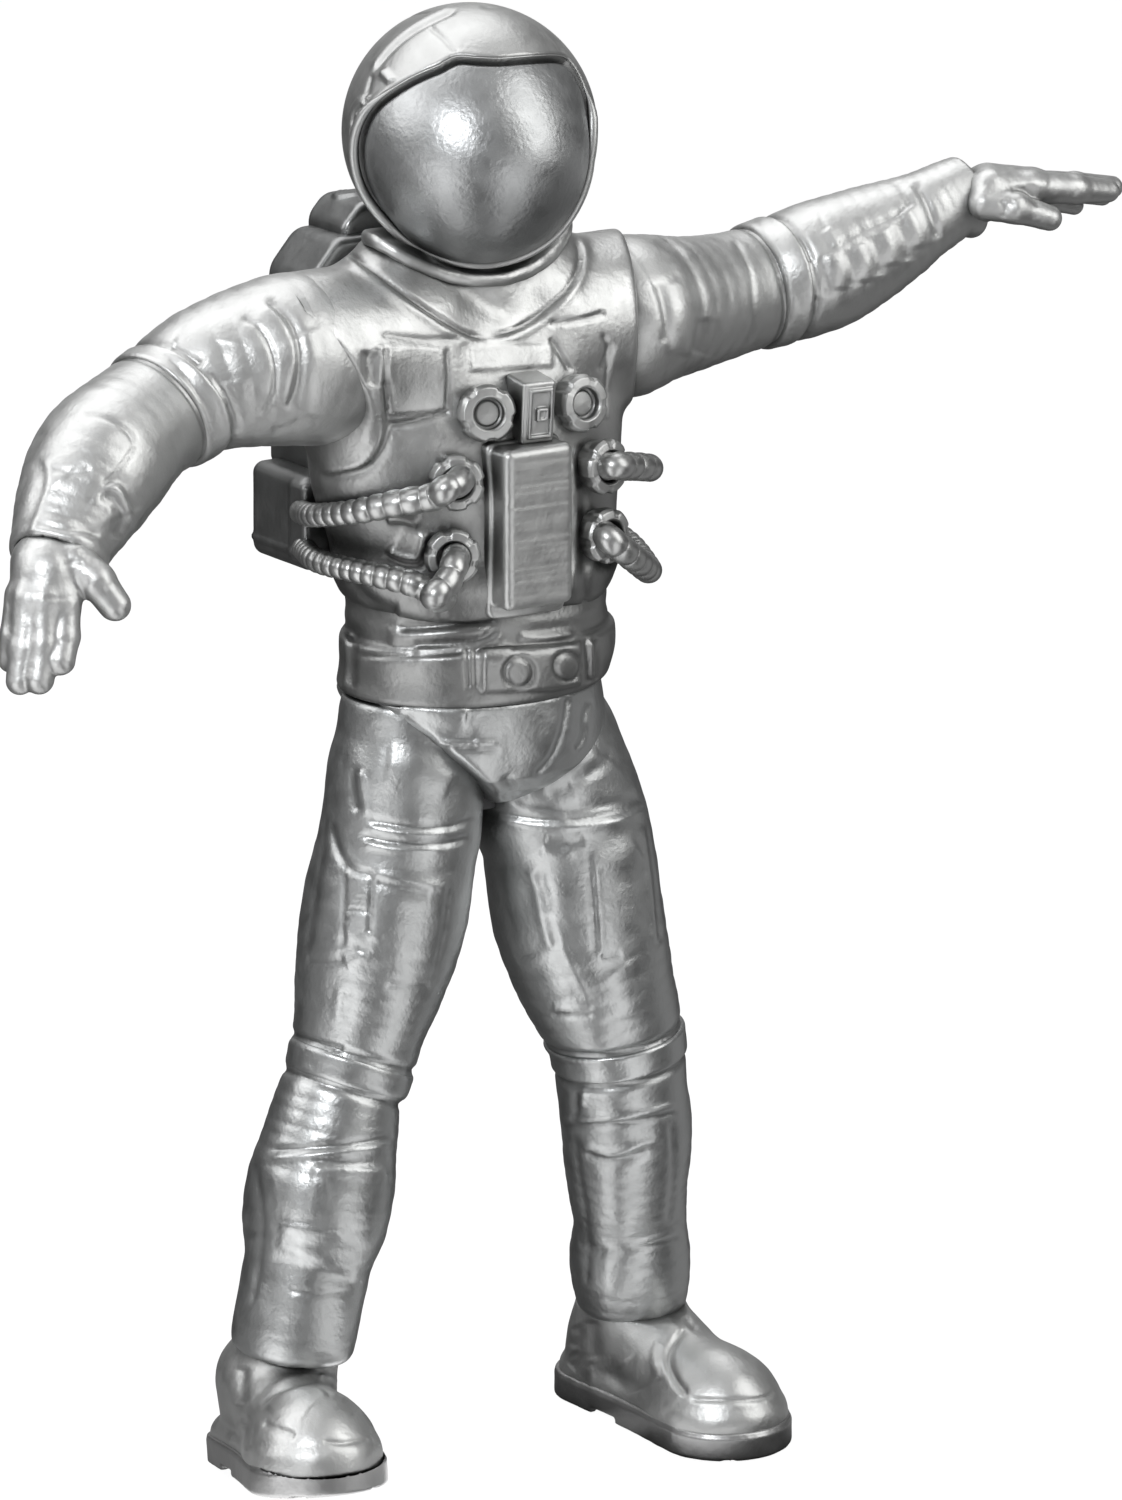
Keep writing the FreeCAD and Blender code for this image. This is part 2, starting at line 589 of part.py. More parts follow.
def make_helmet_shell():
    shell = sphere(HELMET_C, HELMET_R).cut(sphere(HELMET_C, 12.4))
    return largest(shell.cut(neck_hole(155)).cut(nod_cyl(13.6, NOD_PIN_R + RUN)))


def make_visor():
    visor = sphere(VISOR_C, VISOR_R).cut(sphere(HELMET_C, HELMET_R + 0.02))
    return largest(visor.common(in_front(4.2)).cut(neck_hole(158)))


def make_visor_rim():
    """Raised rim on the shell, behind the visor."""
    rim = sphere(HELMET_C, HELMET_R + 1.0).cut(sphere(HELMET_C, HELMET_R + 0.02))
    return largest(rim.common(in_front(2.6)).cut(in_front(4.15)).cut(neck_hole(155)))


# ---- chest equipment ----
def make_chest_panel():
    return largest(soften(Part.makeBox(9.4, 4.6, 19.0, V(-4.7, -15.9, 107.0)), 0.8).cut(torso))


def make_chest_valve(panel):
    """Block above the panel with a small square boss on its front."""
    valve = soften(Part.makeBox(5.6, 4.4, 7.6, V(-2.8, -14.4, 126.6)), 0.7)
    valve = valve.fuse(soften(Part.makeBox(2.6, 1.4, 2.6, V(-1.3, -15.2, 129.2)), 0.3))
    return largest(valve.cut(torso).cut(panel))


def make_dial(sign, valve):
    """Round dial with six grip grooves and a recessed face."""
    x = sign * DIAL_X
    dial = cyl(V(x, -6.0, DIAL_Z), V(x, -13.2, DIAL_Z), DIAL_R)
    for i in range(6):
        angle = math.radians(60 * i + 30)
        groove_x = x + (DIAL_R + 0.1) * math.cos(angle)
        groove_z = DIAL_Z + (DIAL_R + 0.1) * math.sin(angle)
        dial = dial.cut(cyl(V(groove_x, -14, groove_z), V(groove_x, -5, groove_z), 0.55))
    dial = dial.cut(cyl(V(x, -14.0, DIAL_Z), V(x, -12.3, DIAL_Z), 1.9))
    return largest(dial.cut(torso).cut(valve))


def torso_front_y(x, z):
    """y of the torso front, interpolated between its sections."""
    for (z0, a0, b0, y0), (z1, a1, b1, y1) in zip(TORSO, TORSO[1:]):
        if z0 <= z <= z1:
            t = (z - z0) / (z1 - z0)
            a, b, y = a0 + (a1 - a0) * t, b0 + (b1 - b0) * t, y0 + (y1 - y0) * t
            return y - b * math.sqrt(1 - (x / a) ** 2)


def make_hose_fittings(panel):
    """Four flanged studs on the chest."""
    fittings = []
    for x, z in FITTINGS:
        face = V(x, torso_front_y(x, z), z)
        root = face + Y * 2.5
        outward = unit(V(x * 0.055, -1, 0))
        fitting = cyl(root, face + outward * 2.6, 2.1).fuse(cyl(root, face + outward * 1.0, 2.7))
        fittings.append(largest(fitting.cut(torso).cut(panel)))
    return Part.makeCompound(fittings)


def make_hose(path, fittings, pack_lower):
    points = [V(*p) for p in path]
    curve = Part.BSplineCurve()
    curve.interpolate(points)
    edge = curve.toShape()
    start_dir = edge.tangentAt(edge.FirstParameter)
    section = Part.Wire(Part.Circle(points[0], start_dir, HOSE_R).toShape())
    pipe = Part.Wire(edge).makePipeShell([section], True, True)
    return largest(pipe.cut(fittings).cut(torso).cut(pack_lower))


# ---- backpack ----
def round_top_sides(block, above, r):
    """Fillet the fore-and-aft edges higher than z = above."""
    edges = [e for e in block.Edges
             if abs(e.BoundBox.XLength) < 0.1 and abs(e.BoundBox.ZLength) < 0.1
             and e.BoundBox.ZMin > above]
    return block.makeFillet(r, edges)


def make_backpack_lower():
    return largest(soften(Part.makeBox(37.0, 12.6, 11.4, V(-18.5, 6.9, 109.2)), 1.4).cut(back_fit))


def make_backpack_main():
    pack = round_top_sides(Part.makeBox(37.2, 9.6, 27.4, V(-18.6, PACK_BACK_Y - 9.6, 120.7)),
                           above=140, r=4.0)
    back_edges = [e for e in pack.Edges
                  if abs(e.BoundBox.YMin - PACK_BACK_Y) < 0.01
                  and abs(e.BoundBox.YMax - PACK_BACK_Y) < 0.01]
    pack = pack.makeFillet(1.2, back_edges)
    return largest(pack.cut(back_fit).cut(collar_torus(2.5)))


def make_backpack_top():
    top = round_top_sides(Part.makeBox(25.6, 8.6, 6.0, V(-12.8, 13.2, 148.15)), above=150, r=2.6)
    return largest(top.cut(sphere(HELMET_C, HELMET_R + 1.9)).cut(collar_torus(2.5)))


# ---- belt ----
def make_belt_buckle(belt):
    buckle = soften(Part.makeBox(12.6, 3.4, 4.9, V(-6.6, -15.6, 96.7)), 0.5)
    return largest(buckle.cut(belt).cut(torso))


# ---- assembly ----
def save(name, shape):
    shape = shape.copy()
    shape.translate(-ORIGIN)
    if shape.ShapeType == "Compound" and len(shape.Solids) == 1:
        shape = shape.Solids[0]
    shape.exportStep("parts/%s.step" % name)


torso = section_loft(TORSO)
back_fit = section_loft([(z, a + 0.1, b + 0.1, y) for z, a, b, y in TORSO])
head_room = make_head_room()

panel = make_chest_panel()
valve = make_chest_valve(panel)
fittings = make_hose_fittings(panel)
pack_lower = make_backpack_lower()
belt = largest(section_loft(BELT).cut(torso))

parts = {
    "trouser_seat": make_trouser_seat(),
    "hip_frame": make_hip_frame(),
    "collar_ring": largest(collar_torus(2.3).cut(head_room).cut(torso)),
    "chest_frame": make_chest_frame(),
    "jacket": make_jacket(),
    "neck_post": make_neck_post(),
    "nod_pin": nod_cyl(13.4, NOD_PIN_R),
    "helmet_shell": make_helmet_shell(),
    "visor": make_visor(),
    "visor_rim": make_visor_rim(),
    "chest_panel": panel,
    "chest_valve": valve,
    "hose_fittings": fittings,
    "backpack_lower": pack_lower,
    "backpack_main": make_backpack_main(),
    "backpack_top": make_backpack_top(),
    "belt": belt,
    "belt_buckle": make_belt_buckle(belt),
}
for s, sign in SIDES.items():
    knee_band = make_knee_band(s)
    elbow_band = make_elbow_band(s)
    upper_path = [(sign * x, y, z) for x, y, z in HOSE_UPPER]
    side_parts = {
        "thigh_suit": make_thigh_suit(s, knee_band),
        "knee_band": largest(knee_band),
        "thigh_core": make_thigh_core(s),
        "shin_suit": make_shin_suit(s),
        "shin_core": make_shin_core(s),
        "knee_pin": centred_cyl(KNEE[s], KNEE_AXIS[s], KNEE_FORK_HALF - RUN, PIN_R),
        "boot": make_boot(s),
        "sole": make_sole(s),
        "ankle_pin": place_foot(centred_cyl(V(0, 0, 0), X, 4.2, PIN_R), s),
        "shoulder_hub": make_shoulder_hub(s),
        "shoulder_pin": centred_cyl(SHOULDER[s], RAISE_AXIS[s], 8.6, PIN_R),
        "upper_arm_core": make_upper_arm_core(s),
        "upper_sleeve": make_upper_sleeve(s, elbow_band),
        "elbow_band": largest(elbow_band),
        "lower_sleeve": make_lower_sleeve(s),
        "forearm_core": make_forearm_core(s),
        "elbow_pin": centred_cyl(ELBOW[s], ELBOW_AXIS[s], ELBOW_FORK_HALF - RUN, PIN_R),
        "glove": make_glove(s),
        "dial": make_dial(sign, valve),
        "hose_upper": make_hose(upper_path, fittings, pack_lower),
        "hose_lower": make_hose(HOSE_LOWER[s], fittings, pack_lower),
    }
    for name, shape in side_parts.items():
        parts[name + "_" + s] = shape

os.makedirs("parts", exist_ok=True)
for name, shape in parts.items():
    save(name, shape)
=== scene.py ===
"""A standing astronaut figure in a silver-painted space suit.

All sizes are in millimetres, with z up and the sole of the left boot near z = 0. The figure faces
-y, so its right side ("r") lies at -x and its left side ("l") at +x. make() moves the finished
points into the frame and scales them to metres.

Soft pieces are distance fields (negative inside), meshed by build() and then displaced by relief
functions of (points, normals). Most relief is drawn as lines on a plane square to the camera.
"""
import bpy
import math
import numpy as np
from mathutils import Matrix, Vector


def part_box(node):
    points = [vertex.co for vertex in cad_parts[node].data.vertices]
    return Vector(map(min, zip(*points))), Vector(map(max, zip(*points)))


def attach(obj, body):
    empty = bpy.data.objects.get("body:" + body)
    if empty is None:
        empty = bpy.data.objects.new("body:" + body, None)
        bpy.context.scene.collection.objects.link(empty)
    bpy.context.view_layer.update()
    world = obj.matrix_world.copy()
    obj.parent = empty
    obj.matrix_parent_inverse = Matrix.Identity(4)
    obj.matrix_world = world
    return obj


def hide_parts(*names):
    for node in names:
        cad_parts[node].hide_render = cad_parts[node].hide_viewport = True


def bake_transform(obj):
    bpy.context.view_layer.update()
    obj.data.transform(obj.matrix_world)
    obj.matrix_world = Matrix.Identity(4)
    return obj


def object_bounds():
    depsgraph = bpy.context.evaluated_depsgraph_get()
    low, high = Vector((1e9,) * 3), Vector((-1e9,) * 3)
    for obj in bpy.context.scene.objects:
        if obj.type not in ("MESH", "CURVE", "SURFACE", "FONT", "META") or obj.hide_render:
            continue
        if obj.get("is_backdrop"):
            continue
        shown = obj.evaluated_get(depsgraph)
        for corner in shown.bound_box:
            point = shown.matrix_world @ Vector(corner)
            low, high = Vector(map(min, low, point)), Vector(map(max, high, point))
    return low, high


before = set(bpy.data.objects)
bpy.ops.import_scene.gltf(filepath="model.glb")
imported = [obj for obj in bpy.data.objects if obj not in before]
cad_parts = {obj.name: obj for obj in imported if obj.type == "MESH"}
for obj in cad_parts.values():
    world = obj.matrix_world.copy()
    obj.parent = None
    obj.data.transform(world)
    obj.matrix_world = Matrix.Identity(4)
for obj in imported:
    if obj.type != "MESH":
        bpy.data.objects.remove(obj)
CAD_LOW, CAD_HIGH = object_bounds()
COARSEN = 1.0
MM = .001


def vec(*values):
    return np.array(values, float)


def unit(v):
    v = np.asarray(v, float)
    return v / np.linalg.norm(v, axis=-1, keepdims=True)


# ------------------------------------------------------------------ driving places and sizes
# Where the nod pin's centre lies in this layout, and the shift that carries it into the frame.
NOD_PIN = vec(0.0, -1.0, 161.2)
OFFSET = np.array(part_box("nod_pin"), float).reshape(2, 3).mean(0) * 1000.0 - NOD_PIN

SIGN = {"r": -1, "l": 1}
SHOULDER = {"r": vec(-21.5, 1, 136.2), "l": vec(22.5, 1, 136.3)}
ELBOW = {"r": vec(-40.2, 3.5, 132.1), "l": vec(44.9, 3.5, 136.4)}
WRIST = {"r": vec(-60.3, -7.4, 120.8), "l": vec(69.5, -3.8, 146.2)}
HIP = {"r": vec(-10.1, 0, 85), "l": vec(10.1, 0, 85)}
KNEE = {"r": vec(-19.2, 0, 45.8), "l": vec(18.7, -5, 42.5)}
ANKLE = {"r": vec(-27.5, -2, 14.6), "l": vec(23.4, 0, 12.8)}
HELMET_CENTRE, HELMET_RADIUS = vec(-.45, -1, 161.4), 14.9
VISOR_CENTRE, VISOR_RADIUS = vec(-.95, -3.8, 159.5), 13.3
PACK_HELMET_GAP = 1.5

# The camera stands in front, on the figure's right, and looks slightly down.
TURN, TILT = math.radians(-34.0), math.radians(15.0)
TO_CAMERA = vec(math.sin(TURN) * math.cos(TILT), -math.cos(TURN) * math.cos(TILT), math.sin(TILT))
AHEAD = -TO_CAMERA
VIEW_RIGHT = vec(math.cos(TURN), math.sin(TURN), 0.0)
VIEW_UP = np.cross(VIEW_RIGHT, AHEAD)
VIEW_X, VIEW_Y, VIEW_DISTANCE = 10.8135, 83.592, 1000.0
EYE = VIEW_X * VIEW_RIGHT + VIEW_Y * VIEW_UP - VIEW_DISTANCE * AHEAD


# ------------------------------------------------------------------ small maths
def lengths(rows):
    return np.sqrt(np.einsum("ij,ij->i", rows, rows))


def ease(x, low, high):
    t = np.clip((x - low) / (high - low), 0, 1)
    return t * t * (3 - 2 * t)


def bell(x, centre, width):
    return np.exp(-((x - centre) / width) ** 2)


def to_drawing(points):
    """Perspective projection to the drawing plane, in millimetres"""
    offset = points - EYE
    depth = offset @ AHEAD
    return np.stack([VIEW_X + VIEW_DISTANCE * (offset @ VIEW_RIGHT) / depth,
                     VIEW_Y + VIEW_DISTANCE * (offset @ VIEW_UP) / depth], 1)


def spline(rows, steps=4):
    """Catmull-Rom curve through rows of values"""
    rows = np.asarray(rows, float)
    if len(rows) < 3:
        return rows
    padded = np.vstack([2 * rows[0] - rows[1], rows, 2 * rows[-1] - rows[-2]])
    a, b, c, d = (padded[i:i + len(rows) - 1, None] for i in range(4))
    t = (np.arange(steps) / steps)[None, :, None]
    curve = .5 * (2 * b + (c - a) * t + (2 * a - 5 * b + 4 * c - d) * t * t
                  + (3 * b - a - 3 * c + d) * t ** 3)
    return np.vstack([curve.reshape(-1, rows.shape[1]), rows[-1]])


def nearest(points, line):
    """Distance to a polyline, side of it seen in xy, travel along it, and its length"""
    best = np.full(len(points), 1e9)
    side = np.zeros(len(points))
    travel = np.zeros(len(points))
    done = 0.0
    for a, b in zip(line[:-1], line[1:]):
        run = b - a
        length = float(np.linalg.norm(run))
        offset = points - a
        t = np.clip((offset @ run) / max(float(run @ run), 1e-12), 0, 1)
        distance = lengths(offset - t[:, None] * run)
        closer = distance < best
        best[closer] = distance[closer]
        side[closer] = np.sign(run[0] * offset[:, 1] - run[1] * offset[:, 0])[closer]
        travel[closer] = done + length * t[closer]
        done += length
    return best, side, travel, done


def inset(points, outline):
    """Distance to a closed 2-D outline, positive inside"""
    closed = np.vstack([outline, outline[:1]])
    distance = nearest(points, closed)[0]
    inside = np.zeros(len(points), bool)
    x, y = points[:, 0], points[:, 1]
    for (x0, y0), (x1, y1) in zip(closed[:-1], closed[1:]):
        crosses = (y0 > y) != (y1 > y)
        inside ^= crosses & (x < (x1 - x0) * (y - y0) / (y1 - y0 + 1e-12) + x0)
    return np.where(inside, distance, -distance)


def on_axis(points, centre, axis):
    """Distance along an axis and distance from it"""
    offset = points - centre
    along = offset @ axis
    return along, lengths(offset - along[:, None] * axis)


# ------------------------------------------------------------------ distance fields
def smooth_min(a, b, blend):
    h = np.clip(0.5 + 0.5 * (b - a) / blend, 0, 1)
    return b + (a - b) * h - blend * h * (1 - h)


def smooth_max(a, b, blend):
    return -smooth_min(-a, -b, blend)


def union(blend, *fields):
    def field(points):
        value = fields[0](points)
        for other in fields[1:]:
            value = smooth_min(value, other(points), blend)
        return value
    return field


def ball(centre, radius):
    return lambda points: lengths(points - vec(*centre)) - radius


def cone(start, end, start_radius, end_radius):
    """A round-ended cone"""
    start = vec(*start)
    run = vec(*end) - start
    square = float(run @ run)

    def field(points):
        offset = points - start
        t = np.clip((offset @ run) / square, 0, 1)
        radius = start_radius + (end_radius - start_radius) * t
        return lengths(offset - t[:, None] * run) - radius
    return field


def ellipse(offset, radii):
    """Approximate distance to an ellipse or ellipsoid"""
    q = lengths(offset / radii)
    return q * (q - 1) / (lengths(offset / radii ** 2) + 1e-9)


def box(centre, half, rounding):
    centre, core = vec(*centre), vec(*half) - rounding

    def field(points):
        q = np.abs(points - centre) - core
        return lengths(np.maximum(q, 0)) + np.minimum(q.max(1), 0) - rounding
    return field


def half_space(point, normal):
    point, normal = vec(*point), unit(normal)
    return lambda points: (points - point) @ normal


def tube(spine):
    """A limb along spine rows of x, y, z, radius"""
    parts = [cone(a[:3], b[:3], a[3], b[3]) for a, b in zip(spine[:-1], spine[1:])]

    def field(points):
        value = parts[0](points)
        for part in parts[1:]:
            value = np.minimum(value, part(points))
        return value
    return field


def open_end(value, along, out, edge_round, bore, depth, bore_round):
    """Cuts a limb off at its end plane and hollows the end"""
    value = smooth_max(value, along, edge_round)
    return smooth_max(value, -np.maximum(out - bore, -along - depth), bore_round)


# ------------------------------------------------------------------ meshing
BLOCK = 4


def surface_nets(field, low, high, step):
    """Quad mesh of the zero surface; only blocks of cells near the surface are sampled"""
    low, high = vec(*low), vec(*high)
    blocks = np.maximum(((high - low) / step / BLOCK).astype(int) + 1, 2)
    block_at = np.indices(blocks).reshape(3, -1).T
    middle = field(low + (block_at * BLOCK + (BLOCK - 1) / 2) * step)
    active = block_at[np.abs(middle) < step * BLOCK * 1.25]
    size = blocks * BLOCK
    values = np.where(middle < 0, -1.0, 1.0).reshape(blocks).astype(np.float32)
    for axis in range(3):
        values = values.repeat(BLOCK, axis)
    within = np.indices((BLOCK,) * 3).reshape(3, -1).T
    for i in range(0, len(active), 20000):
        at = (active[i:i + 20000, None, :] * BLOCK + within[None]).reshape(-1, 3)
        values[tuple(at.T)] = field(low + at * step)
    inside = values < 0
    count = np.zeros(size - 1, np.int8)
    for dx, dy, dz in np.ndindex(2, 2, 2):
        count += inside[dx:size[0] - 1 + dx, dy:size[1] - 1 + dy, dz:size[2] - 1 + dz]
    mixed = (count > 0) & (count < 8)
    cells = np.argwhere(mixed)
    index = np.full(mixed.shape, -1, np.int32)
    index[mixed] = np.arange(len(cells))

    # each vertex is the mean of the crossings on its cell's edges
    place = np.zeros((len(cells), 3))
    number = np.zeros(len(cells))
    steps = np.eye(3, dtype=int)
    for axis in range(3):
        p, q = steps[(axis + 1) % 3], steps[(axis + 2) % 3]
        for u, v in np.ndindex(2, 2):
            corner = u * p + v * q
            start = values[tuple((cells + corner).T)].astype(float)
            end = values[tuple((cells + corner + steps[axis]).T)].astype(float)
            cut = (start < 0) != (end < 0)
            t = start[cut] / (start[cut] - end[cut])
            place[cut] += corner + t[:, None] * steps[axis]
            number[cut] += 1
    points = low + step * (cells + place / number[:, None])

    # each crossed grid edge joins its four cells
    faces = []
    for axis in range(3):
        p, q = (axis + 1) % 3, (axis + 2) % 3
        edge = np.argwhere(np.diff(inside, axis=axis))
        edge = edge[(edge[:, p] >= 1) & (edge[:, q] >= 1)
                    & (edge[:, p] < size[p] - 1) & (edge[:, q] < size[q] - 1)]
        around = (steps[p] + steps[q], steps[q], steps[p] * 0, steps[p])
        quads = np.stack([index[tuple((edge - back).T)] for back in around], 1)
        starts_out = ~inside[tuple(edge.T)]
        quads[starts_out] = quads[starts_out][:, ::-1]
        faces.append(quads)
    faces = np.vstack(faces)
    return points, faces[(faces >= 0).all(1)]


def gradient(field, points, value, probe=0.02):
    return np.stack([field(points + probe * axis) - value for axis in np.eye(3)], 1) / probe


def settle(field, points, step, turns):
    """Moves points onto the zero surface"""
    for _ in range(turns):
        value = field(points)
        slope = gradient(field, points, value)
        square = np.maximum(np.einsum("ij,ij->i", slope, slope), 0.05)
        move = -(value / square)[:, None] * slope
        move *= np.minimum(1, 0.6 * step / np.maximum(lengths(move), 1e-9))[:, None]
        points = points + move
    return points


def relax(points, faces, amount):
    """Moves points towards the mean of their neighbours"""
    a = faces.T.ravel()
    b = np.roll(faces, -1, axis=1).T.ravel()
    total = np.zeros_like(points)
    for c in range(3):
        total[:, c] = (np.bincount(a, points[b, c], len(points))
                       + np.bincount(b, points[a, c], len(points)))
    number = np.bincount(a, minlength=len(points)) + np.bincount(b, minlength=len(points))
    return points + amount * (total / np.maximum(number, 1)[:, None] - points)


def face_crosses(points, faces):
    return np.cross(points[faces[:, 2]] - points[faces[:, 0]],
                    points[faces[:, 3]] - points[faces[:, 1]])


def vertex_normals(points, faces):
    crosses = face_crosses(points, faces)
    normals = np.zeros_like(points)
    for c in range(3):
        for k in range(4):
            normals[:, c] += np.bincount(faces[:, k], crosses[:, c], len(points))
    return normals / np.maximum(lengths(normals), 1e-12)[:, None]


def grid_faces(rows, columns, closed):
    """Quads between rows of points; columns always wrap, rows wrap where closed"""
    i = np.arange(rows if closed else rows - 1)[:, None]
    j = np.arange(columns)[None]
    here, there = i * columns, (i + 1) % rows * columns
    wrap = (j + 1) % columns
    return np.stack([here + j, here + wrap, there + wrap, there + j], -1).reshape(-1, 4)


def fan(first, count, tip, flip=False):
    """Triangles from a ring to a tip; a triangle repeats its last corner"""
    j = np.arange(count)
    ring = [first + j, first + (j + 1) % count]
    tips = [np.full(count, tip)] * 2
    return np.stack((ring[::-1] if flip else ring) + tips, 1)


PIECES = {}


def make(name, points, faces, slot):
    """Mesh object with outward faces, moved into the frame"""
    outward = points[faces].mean(1) - points.mean(0)
    if (face_crosses(points, faces) * outward).sum() < 0:
        triangle = faces[:, 2] == faces[:, 3]
        faces = np.where(triangle[:, None], faces[:, [1, 0, 2, 3]], faces[:, ::-1])
    triangle = faces[:, 2] == faces[:, 3]
    corners = np.where(triangle, 3, 4)
    keep = np.ones(faces.shape, bool)
    keep[triangle, 3] = False
    mesh = bpy.data.meshes.new(name)
    mesh.vertices.add(len(points))
    mesh.vertices.foreach_set("co", ((points + OFFSET) * MM).astype(np.float32).ravel())
    mesh.loops.add(int(corners.sum()))
    mesh.loops.foreach_set("vertex_index", faces[keep].astype(np.int32))
    mesh.polygons.add(len(faces))
    starts = np.concatenate([[0], np.cumsum(corners)[:-1]])
    mesh.polygons.foreach_set("loop_start", starts.astype(np.int32))
    mesh.polygons.foreach_set("loop_total", corners.astype(np.int32))
    mesh.update(calc_edges=True)
    mesh.validate()
    mesh.polygons.foreach_set("use_smooth", np.ones(len(mesh.polygons), bool))
    piece = bpy.data.objects.new(name, mesh)
    bpy.context.scene.collection.objects.link(piece)
    piece.data.materials.append(PAINTS[slot])
    PIECES[name] = piece
    return piece


def build(name, field, low, high, step, slot, relief):
    """Meshes a field and displaces it along its normals by the relief"""
    step = step * COARSEN
    points, faces = surface_nets(field, low, high, step)
    points = settle(field, points, step, 2)
    points = relax(points, faces, 0.35)
    points = settle(field, points, step, 1)
    slope = gradient(field, points, field(points))
    normals = slope / np.maximum(lengths(slope), 1e-6)[:, None]
    return make(name, points + normals * relief(points, normals)[:, None], faces, slot)


def ride(piece, body, *replaced):
    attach(piece, body)
    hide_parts(*replaced)


def bend(piece, upper, lower, joint, reach, *replaced):
    """Bakes the piece's placement into its mesh and hides the parts it replaces"""
    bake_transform(piece)
    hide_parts(*replaced)


# ------------------------------------------------------------------ relief
def waves(seed, scale, count=26, stretch=(1, 1, 1)):
    """Sum of random plane waves"""
    draws = np.random.default_rng(seed)
    directions = draws.normal(size=(count, 3))
    directions /= np.linalg.norm(directions, axis=1)[:, None]
    spread = draws.uniform(0.6, 1.6, count)[:, None]
    directions = directions * (2 * math.pi / scale) * spread * vec(*stretch)
    phases = draws.uniform(0, 2 * math.pi, count)

    def height(points):
        value = np.zeros(len(points))
        for direction, phase in zip(directions, phases):
            value += np.sin(points @ direction + phase)
        return value / math.sqrt(count)
    return height


UNEVEN_GAIN = .4


def uneven(seed, scale, height):
    wave = waves(seed, scale)
    return lambda points, normals: height * UNEVEN_GAIN * wave(points)


def total(*reliefs):
    return lambda points, normals: sum(relief(points, normals) for relief in reliefs)


def facing(points, normals, low, high):
    """0 to 1 as the surface turns towards the camera"""
    return ease(np.einsum("ij,ij->i", normals, unit(EYE - points)), low, high)


def turned_away(normals, low):
    return ease(-(normals @ TO_CAMERA), low, 0.4)


def near_line(drawn, face, line, reach):
    """Indices of the visible points within reach of the line's bounds"""
    close = ((drawn > line.min(0) - reach) & (drawn < line.max(0) + reach)).all(1)
    return np.nonzero((face > 0) & close)[0]


def carve(lines, strength=1.0):
    """Relief from drawn lines, rows of kind, height, width, points and optional settings.

    groove: cut in; ridge: raised; fold: raised or, with a negative height, sunk;
    step: the left of the line stands proud and dies away over "fade".
    "taper" is the fraction of the length over which each end dies away; "straight" lines are
    not smoothed.
    """
    prepared = []
    for kind, height, width, points, *rest in lines:
        options = rest[0] if rest else {}
        line = np.array(points, float) if options.get("straight") else spline(points)
        prepared.append((kind, height, width, line, options))

    def relief(points, normals):
        drawn = to_drawing(points)
        face = facing(points, normals, .06, .3)
        out = np.zeros(len(points))
        for kind, height, width, line, options in prepared:
            reach = (4.0 if kind in ("step", "fold") else 1.0) + 3.2 * width
            near = near_line(drawn, face, line, reach)
            distance, side, travel, length = nearest(drawn[near], line)
            if kind == "step":
                left = side * distance
                value = height * ease(left, -0.5 * width, width)
                value *= np.exp(-np.maximum(left, 0) / options["fade"])
                value -= 0.35 * height * bell(left, -width, width)
            else:
                value = (-height if kind == "groove" else height) * bell(distance, 0, width)
            taper = options.get("taper", .1)
            if taper > 0:
                part = travel / length
                value *= ease(part, -0.001, taper) * ease(1 - part, -0.001, taper)
            out[near] += strength * value * face[near]
        return out
    return relief


def raised(outline, height, edge=0.25):
    """Raises the inside of a closed drawn outline"""
    outline = np.asarray(outline, float)

    def relief(points, normals):
        drawn = to_drawing(points)
        face = facing(points, normals, .1, .35)
        out = np.zeros(len(points))
        near = near_line(drawn, face, outline, 1)
        out[near] = height * ease(inset(drawn[near], outline), -edge, edge) * face[near]
        return out
    return relief


# ------------------------------------------------------------------ materials
def add_node(tree, kind, inputs=None, **settings):
    """Adds a shader node; an input given as a socket is linked, any other is a value"""
    node = tree.nodes.new("ShaderNode" + kind)
    for name, value in settings.items():
        setattr(node, name, value)
    for name, value in (inputs or {}).items():
        if isinstance(value, bpy.types.NodeSocket):
            tree.links.new(value, node.inputs[name])
        else:
            node.inputs[name].default_value = value
    return node


def map_range(tree, value, source, target, kind="LINEAR"):
    return add_node(tree, "MapRange", {
        "Value": value, "From Min": source[0], "From Max": source[1],
        "To Min": target[0], "To Max": target[1]}, interpolation_type=kind).outputs["Result"]


def grey_ramp(tree, value, stops):
    """Colour ramp through stops of position, grey"""
    ramp = add_node(tree, "ValToRGB", {"Fac": value})
    elements = ramp.color_ramp.elements
    for element, (place, grey) in ((elements[0], stops[0]), (elements[1], stops[-1])):
        element.position = place
        element.color = (grey, grey, grey, 1)
    for place, grey in stops[1:-1]:
        elements.new(place).color = (grey, grey, grey, 1)
    return ramp.outputs["Color"]


def multiply(tree, colour, factor):
    return add_node(tree, "MixRGB", {"Fac": 1.0, "Color1": colour, "Color2": factor},
                    blend_type="MULTIPLY").outputs["Color"]


def noise_texture(tree, vector, scale, detail, **more):
    inputs = {"Vector": vector, "Scale": scale, "Detail": detail, **more}
    return add_node(tree, "TexNoise", inputs).outputs["Fac"]


def empty_tree(owner):
    owner.use_nodes = True
    owner.node_tree.nodes.clear()
    return owner.node_tree


